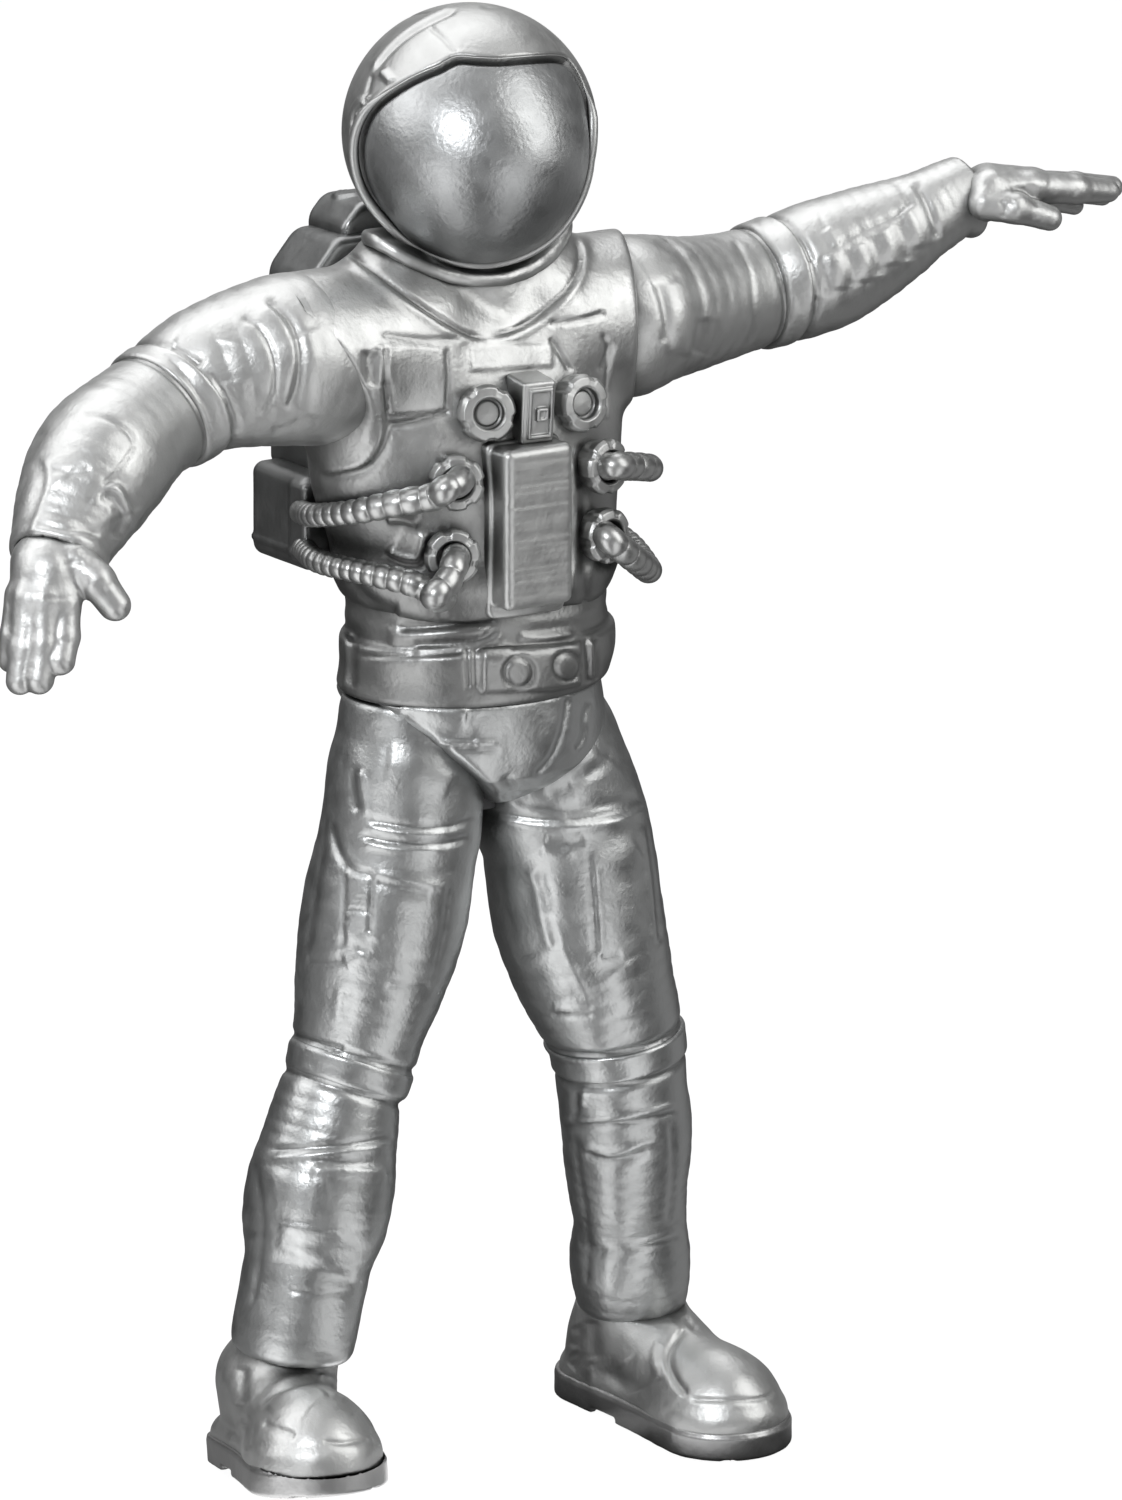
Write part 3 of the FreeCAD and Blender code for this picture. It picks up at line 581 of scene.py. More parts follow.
def silver(name, base, rough, peel, metal=1.0, ripple=0.12, painted_recess_shade=True, dark=0.70, low=1.0,
           fade=None):
    """Uneven paint.

    peel, ripple: strength of the fine and broad bumps; wash: painted shade that darkens recesses to
    "dark";
    low: painted shade of surfaces turned down; fade: painted shade towards the bottom, as bottom z,
    top z (in metres) and shade at the bottom.
    """
    material = bpy.data.materials.new(name)
    tree = empty_tree(material)
    coords = add_node(tree, "TexCoord").outputs
    place = coords["Object"]
    # painted shade darkens recesses; sharp edges come out a shade brighter
    recess_shade_and_edge_tone = (1, 1, 1, 1)
    if painted_recess_shade:
        pointiness = add_node(tree, "NewGeometry").outputs["Pointiness"]
        recess_shade_and_edge_tone = grey_ramp(tree, pointiness, [(0.43, dark), (0.50, 1), (0.62, 1.075)])
    colour = multiply(tree, (*base, 1), recess_shade_and_edge_tone)
    mottle = noise_texture(tree, place, 160.0, 3.0)
    colour = multiply(tree, colour, map_range(tree, mottle, (.3, .7), (.97, 1.03)))
    if low < 1:
        # painted shade: colour darkens where the surface turns towards the ground
        normal = add_node(tree, "SeparateXYZ", {"Vector": coords["Normal"]})
        shade = map_range(tree, normal.outputs["Z"], (-.48, .12), (low, 1.0), "SMOOTHSTEP")
        colour = multiply(tree, colour, shade)
    if fade:
        # painted shade: colour darkens towards the bottom, from top z down to bottom z
        bottom, top, bottom_shade = fade
        height = add_node(tree, "SeparateXYZ", {"Vector": place}).outputs["Z"]
        shade = map_range(tree, height, (bottom, top), (bottom_shade, 1.0), "SMOOTHSTEP")
        colour = multiply(tree, colour, shade)
    # painted shade: colour darkens where pieces meet and in hollows (ambient occlusion)
    painted_contact_shade = add_node(tree, "AmbientOcclusion", {"Distance": 0.0035}, samples=6).outputs["AO"]
    colour = multiply(tree, colour, map_range(tree, painted_contact_shade, (.35, .95), (.42, 1.0)))
    patches = noise_texture(tree, place, 420.0, 2.0)
    roughness = map_range(tree, patches, (.3, .7), (rough - 0.04, rough + 0.05))
    # orange peel of the paint over broader ripples
    broad = noise_texture(tree, place, 330.0, 2.0, Distortion=0.6)
    ripples = add_node(tree, "Bump", {"Strength": ripple, "Distance": 0.00025, "Height": broad})
    mapped = add_node(tree, "Mapping", {"Vector": place}).outputs["Vector"]
    fine = noise_texture(tree, mapped, 1500.0, 2.5, Roughness=0.55)
    bumps = add_node(tree, "Bump", {"Strength": peel, "Distance": 0.00006, "Height": fine,
                                    "Normal": ripples.outputs["Normal"]})
    shader = add_node(tree, "BsdfPrincipled", {
        "Base Color": colour, "Metallic": metal, "Roughness": roughness,
        "Normal": bumps.outputs["Normal"]})
    add_node(tree, "OutputMaterial", {"Surface": shader.outputs["BSDF"]})
    return material


PAINTS = {
    # low=.72 paints shade on the suit's down-turned faces
    "silver_suit": silver("silver_suit", (0.70, 0.705, 0.70), rough=0.44, peel=0.8, low=.72),
    "silver_hard": silver("silver_hard", (0.62, 0.625, 0.62), rough=0.42, peel=0.55,
                          painted_recess_shade=False, ripple=0.10),
    # low=.50 paints shade and a dark reflection of the chest below onto the visor's down-turned
    # lower half
    "silver_visor": silver("silver_visor", (0.55, 0.56, 0.565), rough=0.38, peel=0.9,
                           painted_recess_shade=False, ripple=0.16, low=.50),
    "silver_hose": silver("silver_hose", (0.60, 0.605, 0.60), rough=0.36, peel=0.35,
                          painted_recess_shade=False),
    "silver_sole": silver("silver_sole", (0.54, 0.54, 0.54), rough=0.38, peel=0.5),
    "frame_plastic": silver("frame_plastic", (0.10, 0.10, 0.105), rough=0.5, metal=0.0,
                            peel=0.3),
    "steel_pin": silver("steel_pin", (0.50, 0.50, 0.50), rough=0.35, peel=0.1),
}
for node_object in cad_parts.values():
    for material_slot in node_object.material_slots:
        old = material_slot.material
        key = (old.name if old else "").split(".")[0]
        material_slot.material = PAINTS.get(key, PAINTS["frame_plastic"])

# ------------------------------------------------------------------ torso
# z, half width, half depth, centre y
TORSO = np.array([
    (95.2, 16.6, 13.6, .2), (100, 17.0, 13.8, .2), (106, 16.6, 13.2, .4), (112, 18.0, 13.2, .5),
    (120, 20.0, 13.2, .6), (128, 21.0, 12.6, 1.0), (135, 21.0, 10.8, 1.5), (141, 19.0, 8.8, 2.0),
    (145.5, 15.5, 8.0, 2.0), (148.5, 13.0, 8.0, 1.6), (151, 11.0, 7.6, 1.4)])
TORSO_Z = np.linspace(93, 151, 117)
kernel = bell(np.arange(-4, 5), 0, 2.2)
kernel /= kernel.sum()
TORSO_SMOOTH = [
    np.convolve(np.pad(np.interp(TORSO_Z, TORSO[:, 0], TORSO[:, i]), 4, mode="edge"),
                kernel, "valid") for i in (1, 2, 3)]


def torso(points, grow=0.0):
    z = points[:, 2]
    width, depth, centre = (np.interp(z, TORSO_Z, column) for column in TORSO_SMOOTH)
    x = points[:, 0] - 1.25 * ease(z, 93, 99) * (1 - ease(z, 109, 121))
    return ellipse(np.stack([x, points[:, 1] - centre], 1),
                   np.stack([width + grow, depth + grow], 1))


# ------------------------------------------------------------------ jacket
ARMHOLE = {"r": half_space((-25.0, 1, 137), (-1, -0.344, -0.627)),
           "l": half_space((22.3, 1, 137), (1, -0.43, 0))}
SHOULDER_STUB = {
    s: cone((SIGN[s] * 11, 1.0, 137.0), SHOULDER[s] + vec(SIGN[s] * 6, 0, 0), 9.9, 10.4)
    for s in "rl"}


def jacket_field(points):
    x, z = points[:, 0], points[:, 2]
    # bloused hem over the waistband
    value = torso(points) - 0.85 * bell(z, 109.2, 2.8)
    for s in "rl":
        shoulder = smooth_max(SHOULDER_STUB[s](points), ARMHOLE[s](points), 0.7)
        value = smooth_min(value, shoulder, 3.2)
    value = smooth_max(value, z - 149.6, 1.6)
    value = smooth_max(value, -ball(HELMET_CENTRE, HELMET_RADIUS + .8)(points), 0.8)
    value = smooth_max(value, -ball(VISOR_CENTRE, VISOR_RADIUS + 1.05)(points), 0.8)
    return smooth_max(value, 105.7 + .5 * np.sin(x * .35 + 1.0) - z, 1.3)


def jacket_back_folds(points, normals):
    x, y, z = points.T
    wave = np.sin(z * 1.15 + 1.6 * np.sin(x * .23) + .5 * y * .3)
    fade = ease(z, 102, 106) * (1 - ease(z, 136, 142))
    return 0.22 * np.clip(wave, -1, .4) * turned_away(normals, -.1) * fade


JACKET_LINES = [
    ("groove", .38, .34, [(-16.77, 145.19), (-12.39, 142.16), (-8.02, 138.87), (-3.89, 136.08),
                          (-0.49, 134.14), (2.07, 133.65)]),
    ("ridge", .22, .55, [(-17.13, 144.59), (-12.88, 141.43), (-8.5, 138.15), (-4.37, 135.35),
                         (-0.73, 133.41), (2.07, 133.04), (4.86, 133.65), (7.9, 135.23),
                         (10.33, 137.17), (12.15, 139.12), (13.49, 141.43), (13.73, 144.1),
                         (12.88, 146.04), (11.54, 147.62)], {"taper": .05}),
    ("groove", .30, .34, [(2.07, 134.14), (4.62, 134.5), (7.41, 135.96), (9.84, 137.9),
                          (11.54, 139.6), (12.88, 141.91), (13, 144.34), (12.15, 146.04)]),
    ("groove", .20, .36, [(-11.3, 134.14), (-8.75, 133.77), (-5.1, 133.41), (-0.85, 133.65)]),
    ("groove", .40, .38, [(-10.21, 122.96), (-8.14, 123.2), (-5.71, 123.81), (-2.43, 124.9)]),
    ("groove", .30, .32, [(9.23, 135.47), (13.12, 135.84), (16.4, 136.81)]),
    ("groove", .34, .34, [(9.48, 133.77), (10.69, 131.95), (12.03, 129.64)]),
    ("groove", .26, .30, [(-3.16, 132.56), (-2.92, 128.55), (-3.16, 124.9)]),
    ("groove", .26, .30, [(-10.57, 133.04), (-10.69, 128.55), (-10.21, 123.69)]),
    ("ridge", .40, .75, [(-11.06, 133.04), (-10.81, 130.73), (-11.06, 128.06)]),
    ("groove", .40, .90, [(-12.27, 132.19), (-12.39, 130), (-11.79, 127.82)]),
    ("step", .45, .50, [(-18.71, 117.13), (-16.65, 117.25), (-13.12, 118.1), (-11.18, 120.41),
                        (-10.57, 123.08), (-10.69, 126.85), (-11.18, 129.52)], {"fade": 2.0}),
    ("ridge", .42, .55, [(-10.45, 111.66), (-8.75, 111.78), (-6.32, 111.17)]),
    ("ridge", .50, .50, [(-10.45, 108.01), (-8.99, 107.16), (-7.41, 106.68), (-6.32, 107.04),
                         (-5.47, 110.2)]),
    ("step", .55, .60, [(-10.45, 108.01), (-8.99, 107.16), (-7.41, 106.68), (-6.32, 107.04),
                        (-5.47, 110.2)], {"fade": 1.5}),
    ("groove", .45, .9, [(-14.82, 104.85), (-13.37, 102.79), (-11.18, 101.09), (-8.75, 100.36)]),
    ("fold", .35, 1.4, [(-15.43, 106.68), (-12.15, 102.3), (-7.53, 100.36), (-2.67, 100.6)]),
    ("groove", .28, .36, [(17.01, 133.41), (16.28, 128.55), (16.28, 123.69)]),
    ("groove", .30, .34, [(15.92, 134.26), (16.4, 132.19), (15.55, 129.52)]),
    ("fold", -.35, 1.6, [(-9.36, 149.2), (-5.1, 143.73), (0.97, 138.27), (5.83, 136.08)]),
    ("ridge", .30, .5, [(12.15, 119.43), (12.39, 111.54), (12.27, 101.82)]),
    ("groove", .35, .6, [(13.49, 121.26), (13.73, 111.54), (13.85, 101.82), (13.61, 99.14)]),
    ("groove", .30, .5, [(15.92, 101.82), (16.28, 99.39), (15.79, 96.96)]),
]
jacket_relief = total(
    carve(JACKET_LINES, strength=1.05),
    raised([(-10.45, 132.92), (-3.16, 132.44), (-3.16, 125.02), (-10.08, 124.29)], .22),
    raised([(-0.36, 132.68), (9.72, 132.92), (9.72, 130.25), (-0.12, 129.64)], .20),
    uneven(3, 9.0, .10), uneven(4, 3.2, .035), jacket_back_folds)
ride(build("suit_jacket", jacket_field, (-26.5, -16, 100.2), (28, 16.5, 151), 0.34,
           "silver_suit", jacket_relief), "torso", "jacket")


# ------------------------------------------------------------------ waistband with its plate
def waistband_field(points):
    z = points[:, 2]
    band = smooth_max(torso(points, 0.35), np.abs(z - 98.6) - 3.4, 1.0)
    # gathered cloth between the waistband and the bloused hem
    cloth = smooth_max(torso(points, -0.35), np.abs(z - 103.4) - 5.2, 1.0)
    return smooth_min(band, cloth, 0.5)


def ring_line(x, y, radius):
    """A slightly tall ring groove"""
    points = [(x + radius * math.cos(a), y + radius * 1.05 * math.sin(a))
              for a in np.linspace(0, 2 * math.pi, 25)]
    return ("groove", .34, .30, points, {"straight": True, "taper": 0})


gather_wave = waves(17, 4.2, 22, stretch=(.35, .35, 1.5))


def gathers(points, normals):
    return .16 * gather_wave(points) * ease(points[:, 2], 101.6, 102.6)


def back_gathers(points, normals):
    angle = np.arctan2(points[:, 1], points[:, 0])
    return (0.16 * np.sin(angle * 26) * turned_away(normals, -.1)
            * ease(points[:, 2], 101.6, 103))


WAISTBAND_LINES = [
    ("step", .55, .5, [(3.65, 98.17), (2.19, 97.2), (-0.24, 96.47), (-3.89, 96.23),
                       (-7.29, 96.11)], {"fade": 1.2}),
    ("ridge", .30, 1.1, [(-10.57, 96.96), (-5.71, 97.32), (-2.67, 97.81), (2.19, 98.17)]),
    ("groove", .50, .60, [(-9.36, 98.41), (-5.1, 98.54), (-0.24, 99.14), (3.4, 99.63)]),
    ("groove", .30, .32, [(-0.61, 96.11), (-0.49, 93.31), (-0.36, 90.88)], {"straight": True}),
    ("groove", .30, .32, [(0.3, 96.11), (0.36, 93.31), (0.49, 90.88)], {"straight": True}),
    ("groove", .35, .34, [(13.85, 97.32), (14.09, 94.53), (14.22, 91.61)], {"straight": True}),
    ("groove", .35, .34, [(15.07, 97.32), (15.19, 94.53), (15.19, 91.85)], {"straight": True}),
    ("ridge", .35, .45, [(14.46, 96.96), (14.58, 94.53), (14.7, 92.1)]),
    ("groove", .30, .40, [(-14.58, 95.13), (-10.33, 95.01), (-5.1, 95.13), (-0.61, 95.5)]),
    ("step", .50, .50, [(-14.94, 90.88), (-14.94, 94.53), (-14.82, 98.41)], {"fade": 2.5}),
    ("groove", .30, .45, [(-16.04, 96.96), (-15.67, 94.53), (-15.92, 91.12)]),
    ("ridge", .30, .50, [(5.35, 97.32), (8.87, 97.32), (12.39, 97.81)]),
    ("groove", .28, .40, [(4.25, 95.62), (8.26, 95.98), (12.76, 96.84)]),
]
PLATE = [(1.21, 95.74), (13, 96.59), (13, 91.61), (9.48, 91), (1.21, 90.64)]
waistband_relief = total(
    carve(WAISTBAND_LINES, strength=.85), raised(PLATE, .55, edge=.35),
    carve([ring_line(5.53, 93.07, 1.72), ring_line(11.3, 93.8, 1.6)]),
    back_gathers, gathers, uneven(7, 7.0, .05))
ride(build("waistband", waistband_field, (-19, -15.4, 94), (19.4, 15.6, 110), 0.30,
           "silver_suit", waistband_relief), "torso", "belt", "belt_buckle")


# ------------------------------------------------------------------ collar band below the helmet
def collar_band(around=220, section=22):
    a = np.linspace(0, 2 * math.pi, around, endpoint=False)
    cos, sin = np.cos(a), np.sin(a)
    x = 13.4 * cos
    y = -0.2 + np.where(sin > 0, 9.0, 6.6) * sin
    z = 147.9 + 1.6 * cos ** 2 - np.where(sin < 0, 3.4, 0.2) * np.abs(sin) ** 1.6
    centre = np.stack([x, y, z], 1)[:, None]
    outward = unit(np.stack([x, y * 1.3, 0 * x], 1))[:, None]
    b = 2 * math.pi * np.arange(section) / section
    # the section reaches further towards the neck than outwards
    out = np.where(np.cos(b) > 0, .55, 3.5) * np.cos(b) - .15
    rise = .85 * np.sin(b) - .6 * np.minimum(np.cos(b), 0) + .2
    points = centre + outward * out[:, None] + vec(0, 0, 1) * rise[:, None]
    points = points.reshape(-1, 3)
    faces = grid_faces(around, section, closed=True)[:, [1, 2, 3, 0]]
    normals = vertex_normals(points, faces)
    return points + normals * uneven(31, 3.0, .10)(points, normals)[:, None], faces


ride(make("collar_band", *collar_band(), "silver_suit"), "torso", "collar_ring")


# ------------------------------------------------------------------ limb bands and folds
def band_bed(centre, axis, edge, width):
    """Grooves in the cloth either side of a band"""
    return lambda points, normals: -.35 * bell(np.abs((points - centre) @ axis), edge, width)


def limb_folds(spine, height, pitch, sway, axis, start, end):
    """Cross folds on the side away from the camera, eased in and out by travel ranges"""
    def relief(points, normals):
        _, _, travel, length = nearest(points, spine[:, :3])
        wave = np.sin(travel * pitch + sway * np.sin(points[:, axis] * .5))
        fade = ease(travel, *start) * (1 - ease(travel, length - end[0], length - end[1]))
        return height * wave * turned_away(normals, -.15) * fade
    return relief


def build_band(name, limb, centre, axis, grow, half, edge_round, extent, step, seed):
    """A flat ring round a limb"""
    def field(points):
        along = np.abs((points - centre) @ axis) - half
        value = smooth_max(limb(points) - grow, along, edge_round)
        return smooth_max(value, -(limb(points) + 1.0), 0.3)
    return build(name, field, centre - extent, centre + extent, step, "silver_suit",
                 uneven(seed, 4.0, .04))


# ------------------------------------------------------------------ sleeves
# x, y, z, radius from the shoulder to the cuff
ARM_SPINE = {
    "r": spline([
        (*SHOULDER["r"], 9.8), (-25.1, 1, 136.8, 9.95), (-33.8, 2.5, 135.5, 8.47),
        (-38.9, 3.5, 132.9, 7.6), (-44.7, 1, 131.55, 7.35), (-51.2, -2, 128.85, 8.05),
        (-55.2, -4, 125.7, 7.37), (-58.9, -6, 121.9, 6.0), (-61.0, -7.9, 119.2, 5.4)]),
    "l": spline([
        (*SHOULDER["l"], 9.75), (25.05, 1, 136.6, 9.11), (34.8, 2.5, 136.4, 7.85),
        (43.8, 3.5, 137.0, 7.36), (50.4, 1, 138.9, 8.0), (56.6, -1, 141.4, 7.07),
        (62.8, -3, 144.3, 5.5), (68.0, -3.9, 146.5, 4.75), (71.0, -4.2, 147.3, 4.4)]),
}
CUFF = {
    "r": dict(centre=vec(-61.2, -8.0, 119.4), axis=unit((-.62, -.44, -.65)), bore=4.8,
              roll_radius=4.6, roll_back=1.4, roll_stretch=1.25, roll_thick=1.15, blend=.5),
    "l": dict(centre=vec(69.9, -3.9, 146.3), axis=unit((.95, -.06, .30)), bore=3.7,
              roll_radius=3.6, roll_back=1.1, roll_stretch=1.0, roll_thick=1.25, blend=.6),
}
ELBOW_BAND = {
    "r": dict(centre=vec(-39.4, 3, 132.3), axis=unit((-.86, -.20, -.42)), grow=.3),
    "l": dict(centre=vec(44.6, 3.2, 137.1), axis=unit((.95, -.02, .10)), grow=.4),
}
SLEEVE_BOUNDS = {"r": ((-69, -17, 108), (-12.0, 14, 148)), "l": ((12.5, -10, 124), (73.5, 14, 155))}
SLEEVE_STRENGTH = {"r": .6, "l": .5}
SLEEVE_LINES = {"r": [
    ("groove", .42, .34, [(-28.31, 136.32), (-26.24, 135.11), (-24.79, 133.16), (-23.94, 130.25),
                          (-24.3, 126.6), (-25.88, 123.81)]),
    ("step", .75, .60, [(-22.72, 124.66), (-21.63, 127.33), (-21.14, 130.25), (-21.38, 133.16),
                        (-22.72, 136.08), (-25.52, 138.51)], {"fade": 3.2}),
    ("groove", .45, .60, [(-25.52, 138.51), (-22.72, 136.08), (-21.38, 133.16), (-21.14, 130.25),
                          (-21.87, 127.09), (-22.84, 124.66)]),
    ("ridge", .45, .55, [(-33.17, 130.49), (-31.83, 128.79), (-30.01, 125.02)]),
    ("groove", .35, .70, [(-34.02, 129.52), (-32.32, 127.09), (-31.35, 124.66)]),
    ("groove", .30, .32, [(-47.63, 124.66), (-44.71, 123.93), (-42.04, 122.47),
                          (-40.82, 120.65)]),
    ("groove", .34, .32, [(-40.82, 120.65), (-42.52, 118.22), (-44.83, 115.55)]),
    ("groove", .28, .50, [(-51.03, 117.86), (-48.84, 117.37), (-46.17, 117.61)]),
    ("step", .85, .60, [(-41.07, 112.39), (-41.8, 113.97), (-43.01, 115.79), (-44.83, 115.55)],
     {"fade": 2.4}),
    ("groove", .80, .80, [(-44.83, 115.18), (-43.25, 113.36), (-42.28, 111.29),
                          (-43.25, 109.11)]),
    ("fold", -.30, 2.2, [(-49.81, 116.64), (-48.11, 115.18), (-45.93, 113.72)]),
    ("groove", .55, .55, [(-53.22, 111.29), (-50.06, 110.56), (-47.14, 110.2), (-45.2, 109.59)]),
    ("step", .45, .7, [(-52.49, 119.43), (-51.76, 116.4), (-52.97, 112.51), (-54.43, 108.5)],
     {"fade": 2.2}),
    ("fold", .5, 2.2, [(-20.9, 134.62), (-19.44, 130.98), (-18.95, 127.09), (-19.44, 123.69)]),
    ("groove", .22, .5, [(-20.9, 123.93), (-22.11, 122.96), (-24.3, 122.23)]),
    ("fold", -.35, 1.8, [(-36.45, 133.16), (-34.26, 132.19), (-32.44, 130.73)]),
    ("fold", -.28, 1.6, [(-30.01, 133.41), (-30.38, 130.98), (-29.65, 127.94)]),
], "l": [
    ("groove", .40, .34, [(31.59, 145.8), (33.05, 143.61), (33.9, 140.82), (34.14, 135.84),
                          (33.29, 132.07)]),
    ("groove", .55, .60, [(21.99, 145.92), (23.81, 145.07), (25.52, 143.61), (26.97, 140.09),
                          (27.58, 136.69), (27.09, 133.41), (26.73, 130.86)]),
    ("step", .60, .60, [(26.73, 130.86), (27.34, 133.41), (27.82, 136.69), (27.22, 140.09),
                        (25.76, 143.61)], {"fade": 3.4}),
    ("groove", .45, .55, [(22.48, 140.45), (23.21, 138.27), (23.57, 135.59), (23.33, 132.8)]),
    ("fold", .42, 1.3, [(24.54, 140.94), (25.27, 138.27), (25.52, 134.62), (25.03, 131.46)]),
    ("fold", -.42, 1.3, [(28.43, 136.08), (28.31, 134.01), (27.7, 131.46)]),
    ("groove", .30, .32, [(44.23, 144.95), (47.14, 146.53), (50.06, 147.87), (52.97, 149.32)]),
    ("groove", .26, .34, [(42.04, 149.2), (42.77, 147.26), (44.23, 144.95)]),
    ("ridge", .50, .50, [(43.01, 147.01), (43.74, 145.8), (44.47, 144.83)]),
    ("fold", .55, 1.25, [(40.46, 142.88), (41.31, 140.7), (41.43, 138.27)]),
    ("groove", .40, .70, [(39.37, 142.88), (39.97, 140.7), (40.09, 137.78)]),
    ("fold", .50, 1.25, [(43.5, 144.1), (44.47, 141.91), (44.71, 139.48)]),
    ("groove", .42, .70, [(42.28, 143.61), (43.01, 141.3), (43.13, 138.51)]),
    ("fold", .50, 1.2, [(46.66, 145.07), (47.63, 142.88), (47.87, 140.45)]),
    ("groove", .42, .70, [(45.44, 144.34), (46.17, 142.16), (46.29, 139.72)]),
    ("fold", .50, 1.2, [(49.81, 147.01), (50.79, 144.83), (51.15, 142.4)]),
    ("groove", .42, .70, [(48.6, 146.04), (49.33, 143.86), (49.57, 141.18)]),
    ("fold", .50, 1.1, [(52.61, 149.44), (53.95, 147.01), (54.43, 144.59)]),
    ("groove", .42, .70, [(51.64, 147.74), (52.49, 145.56), (52.97, 142.88)]),
    ("groove", .65, .55, [(53.7, 152.73), (54.92, 150.9), (55.89, 148.47), (56.62, 145.56)]),
    ("groove", .30, .5, [(51.76, 152.85), (52.73, 151.02), (53.22, 149.44)]),
]}


def sleeve(limb, centre, axis, bore, roll_radius, roll_back, roll_stretch, roll_thick, blend):
    def field(points):
        along, out = on_axis(points, centre, axis)
        roll = np.sqrt(np.maximum(out - roll_radius, 0) ** 2
                       + ((along + roll_back) / roll_stretch) ** 2) - roll_thick
        value = smooth_min(limb(points), roll, blend)
        return open_end(value, along, out, .5, bore, 2.2, .25)
    return field


for s in "rl":
    spine, band = ARM_SPINE[s], ELBOW_BAND[s]
    limb = tube(spine)
    bodies = ("upper_arm_" + s, "forearm_" + s)
    reach = unit(WRIST[s] - SHOULDER[s]) * 6.5
    relief = total(
        carve(SLEEVE_LINES[s], strength=SLEEVE_STRENGTH[s]),
        limb_folds(spine, height=.12, pitch=1.25, sway=1.2, axis=2, start=(8, 12), end=(8, 4)),
        band_bed(band["centre"], band["axis"], 1.75, .45), uneven(11, 8.0, .09),
        uneven(12, 3.0, .03))
    piece = build("sleeve_" + s, sleeve(limb, **CUFF[s]), *SLEEVE_BOUNDS[s], 0.34,
                  "silver_suit", relief)
    bend(piece, *bodies, ELBOW[s], reach, "upper_sleeve_" + s, "lower_sleeve_" + s)
    piece = build_band("elbow_band_ring_" + s, limb, **band, half=1.45, edge_round=.7,
                       extent=10.5, step=.27, seed=13)
    bend(piece, *bodies, ELBOW[s], reach, "elbow_band_" + s)


# ------------------------------------------------------------------ gloves
def digit(knuckle, middle, tip, radii, blend=0.5):
    return union(blend, cone(knuckle, middle, *radii[:2]), cone(middle, tip, *radii[1:]))


def glove(fingers, palm, thumb, thumb_blend):
    """Fingers are rows of knuckle, middle joint, tip, radii; the palm is rows of cones"""
    hand = union(.7, union(.45, *[digit(*row) for row in fingers]),
                 union(1.2, *[cone(*row) for row in palm]))
    return union(thumb_blend, hand, thumb)


glove_right = glove(
    [((-62.91, -12.4, 116.19), (-63.69, -13.6, 112.38), (-64.71, -14.6, 109.95), (2.05, 1.9, 1.75)),
     ((-65.03, -11.8, 116.36), (-65.95, -13, 111.53), (-67.02, -13.8, 107.91), (2.05, 1.95, 1.75)),
     ((-66.27, -10.6, 116.52), (-67.61, -11.6, 111.12), (-68.55, -12.2, 107.55), (1.95, 1.8, 1.6)),
     ((-66.5, -9, 116.46), (-67.84, -9.8, 112.17), (-68.51, -10.2, 109.56), (1.75, 1.6, 1.45))],
    [((-61.57, -9.6, 120.08), (-63.04, -12.4, 115.98), 2.6, 2.1),
     ((-63.3, -9, 120.19), (-64.9, -11.8, 116.35), 2.9, 2.2),
     ((-64.14, -8.2, 119.91), (-65.89, -10.4, 116.43), 2.6, 2.0),
     ((-63.41, -7.4, 119.88), (-65.6, -8.8, 116.75), 2.3, 1.8),
     (WRIST["r"] + vec(1.2, .9, 1.2), (-62.65, -9.2, 119.45), 3.9, 3.2)],
    union(.6, digit((-60.8, -11.4, 120.1), (-59.39, -13.8, 118.31), (-57.78, -15.2, 115.48),
                    (2.5, 2.1, 1.85), blend=.6), ball((-63.39, -10, 119.01), 3.4)),
    thumb_blend=1.0)
glove_left = glove(
    [((74.77, -9.8, 147.92), (81.01, -10.6, 147.12), (85.91, -10.8, 146.37), (2.05, 1.8, 1.4)),
     ((76.44, -7.6, 147.75), (83.16, -7.8, 146.93), (88.85, -7.8, 146.06), (1.8, 1.6, 1.35)),
     ((77.82, -5.4, 146.75), (84.41, -5.2, 145.75), (89.51, -5, 144.54), (1.7, 1.5, 1.3)),
     ((78.91, -3.4, 145.44), (83.36, -3, 144.27), (86.91, -2.8, 143.22), (1.5, 1.4, 1.2))],
    [((69.79, -8.4, 147.88), (75.08, -9.4, 147.7), 2.7, 2.2),
     ((70.99, -6.4, 147.91), (76.6, -7.4, 147.58), 2.8, 2.2),
     ((72.2, -4.4, 147.21), (77.98, -5.2, 146.7), 2.6, 2.0),
     ((72.96, -3, 146.28), (78.44, -3.4, 145.62), 2.2, 1.7),
     (WRIST["l"] + vec(-2.0, 0.1, -.9), (71.31, -5.4, 146.73), 3.7, 3.1),
     ((69.35, -4.2, 146.01), (69.82, -7.6, 146.15), 2.4, 2.2)],
    digit((68.16, -9.6, 146.66), (71.03, -11.8, 146.09), (75.43, -12.8, 144.54),
          (2.1, 1.85, 1.55), blend=.6),
    thumb_blend=.8)
GLOVE_LINES = {"r": [
    ("groove", .34, .36, [(-52, 102.06), (-49.81, 102.06), (-47.87, 102.3)]),
    ("groove", .30, .30, [(-49.81, 105.95), (-48.36, 106.43), (-47.14, 106.31)]),
    ("groove", .25, .5, [(-46.66, 104.85), (-47.14, 103.03), (-47.63, 102.06)]),
    ("groove", .22, .40, [(-50.3, 96.71), (-49.09, 96.96)]),
], "l": [
    ("groove", .36, .34, [(65.37, 151.63), (67.07, 151.63), (68.28, 150.42), (69.01, 149.44)]),
    ("ridge", .25, .5, [(64.15, 152.12), (67.8, 152.48), (70.23, 152.36)]),
    ("groove", .3, .5, [(64.76, 148.96), (65.12, 149.69), (65.85, 150.42)]),
    ("groove", .35, .4, [(64.15, 150.42), (64.64, 149.44), (64.52, 148.23)]),
]}
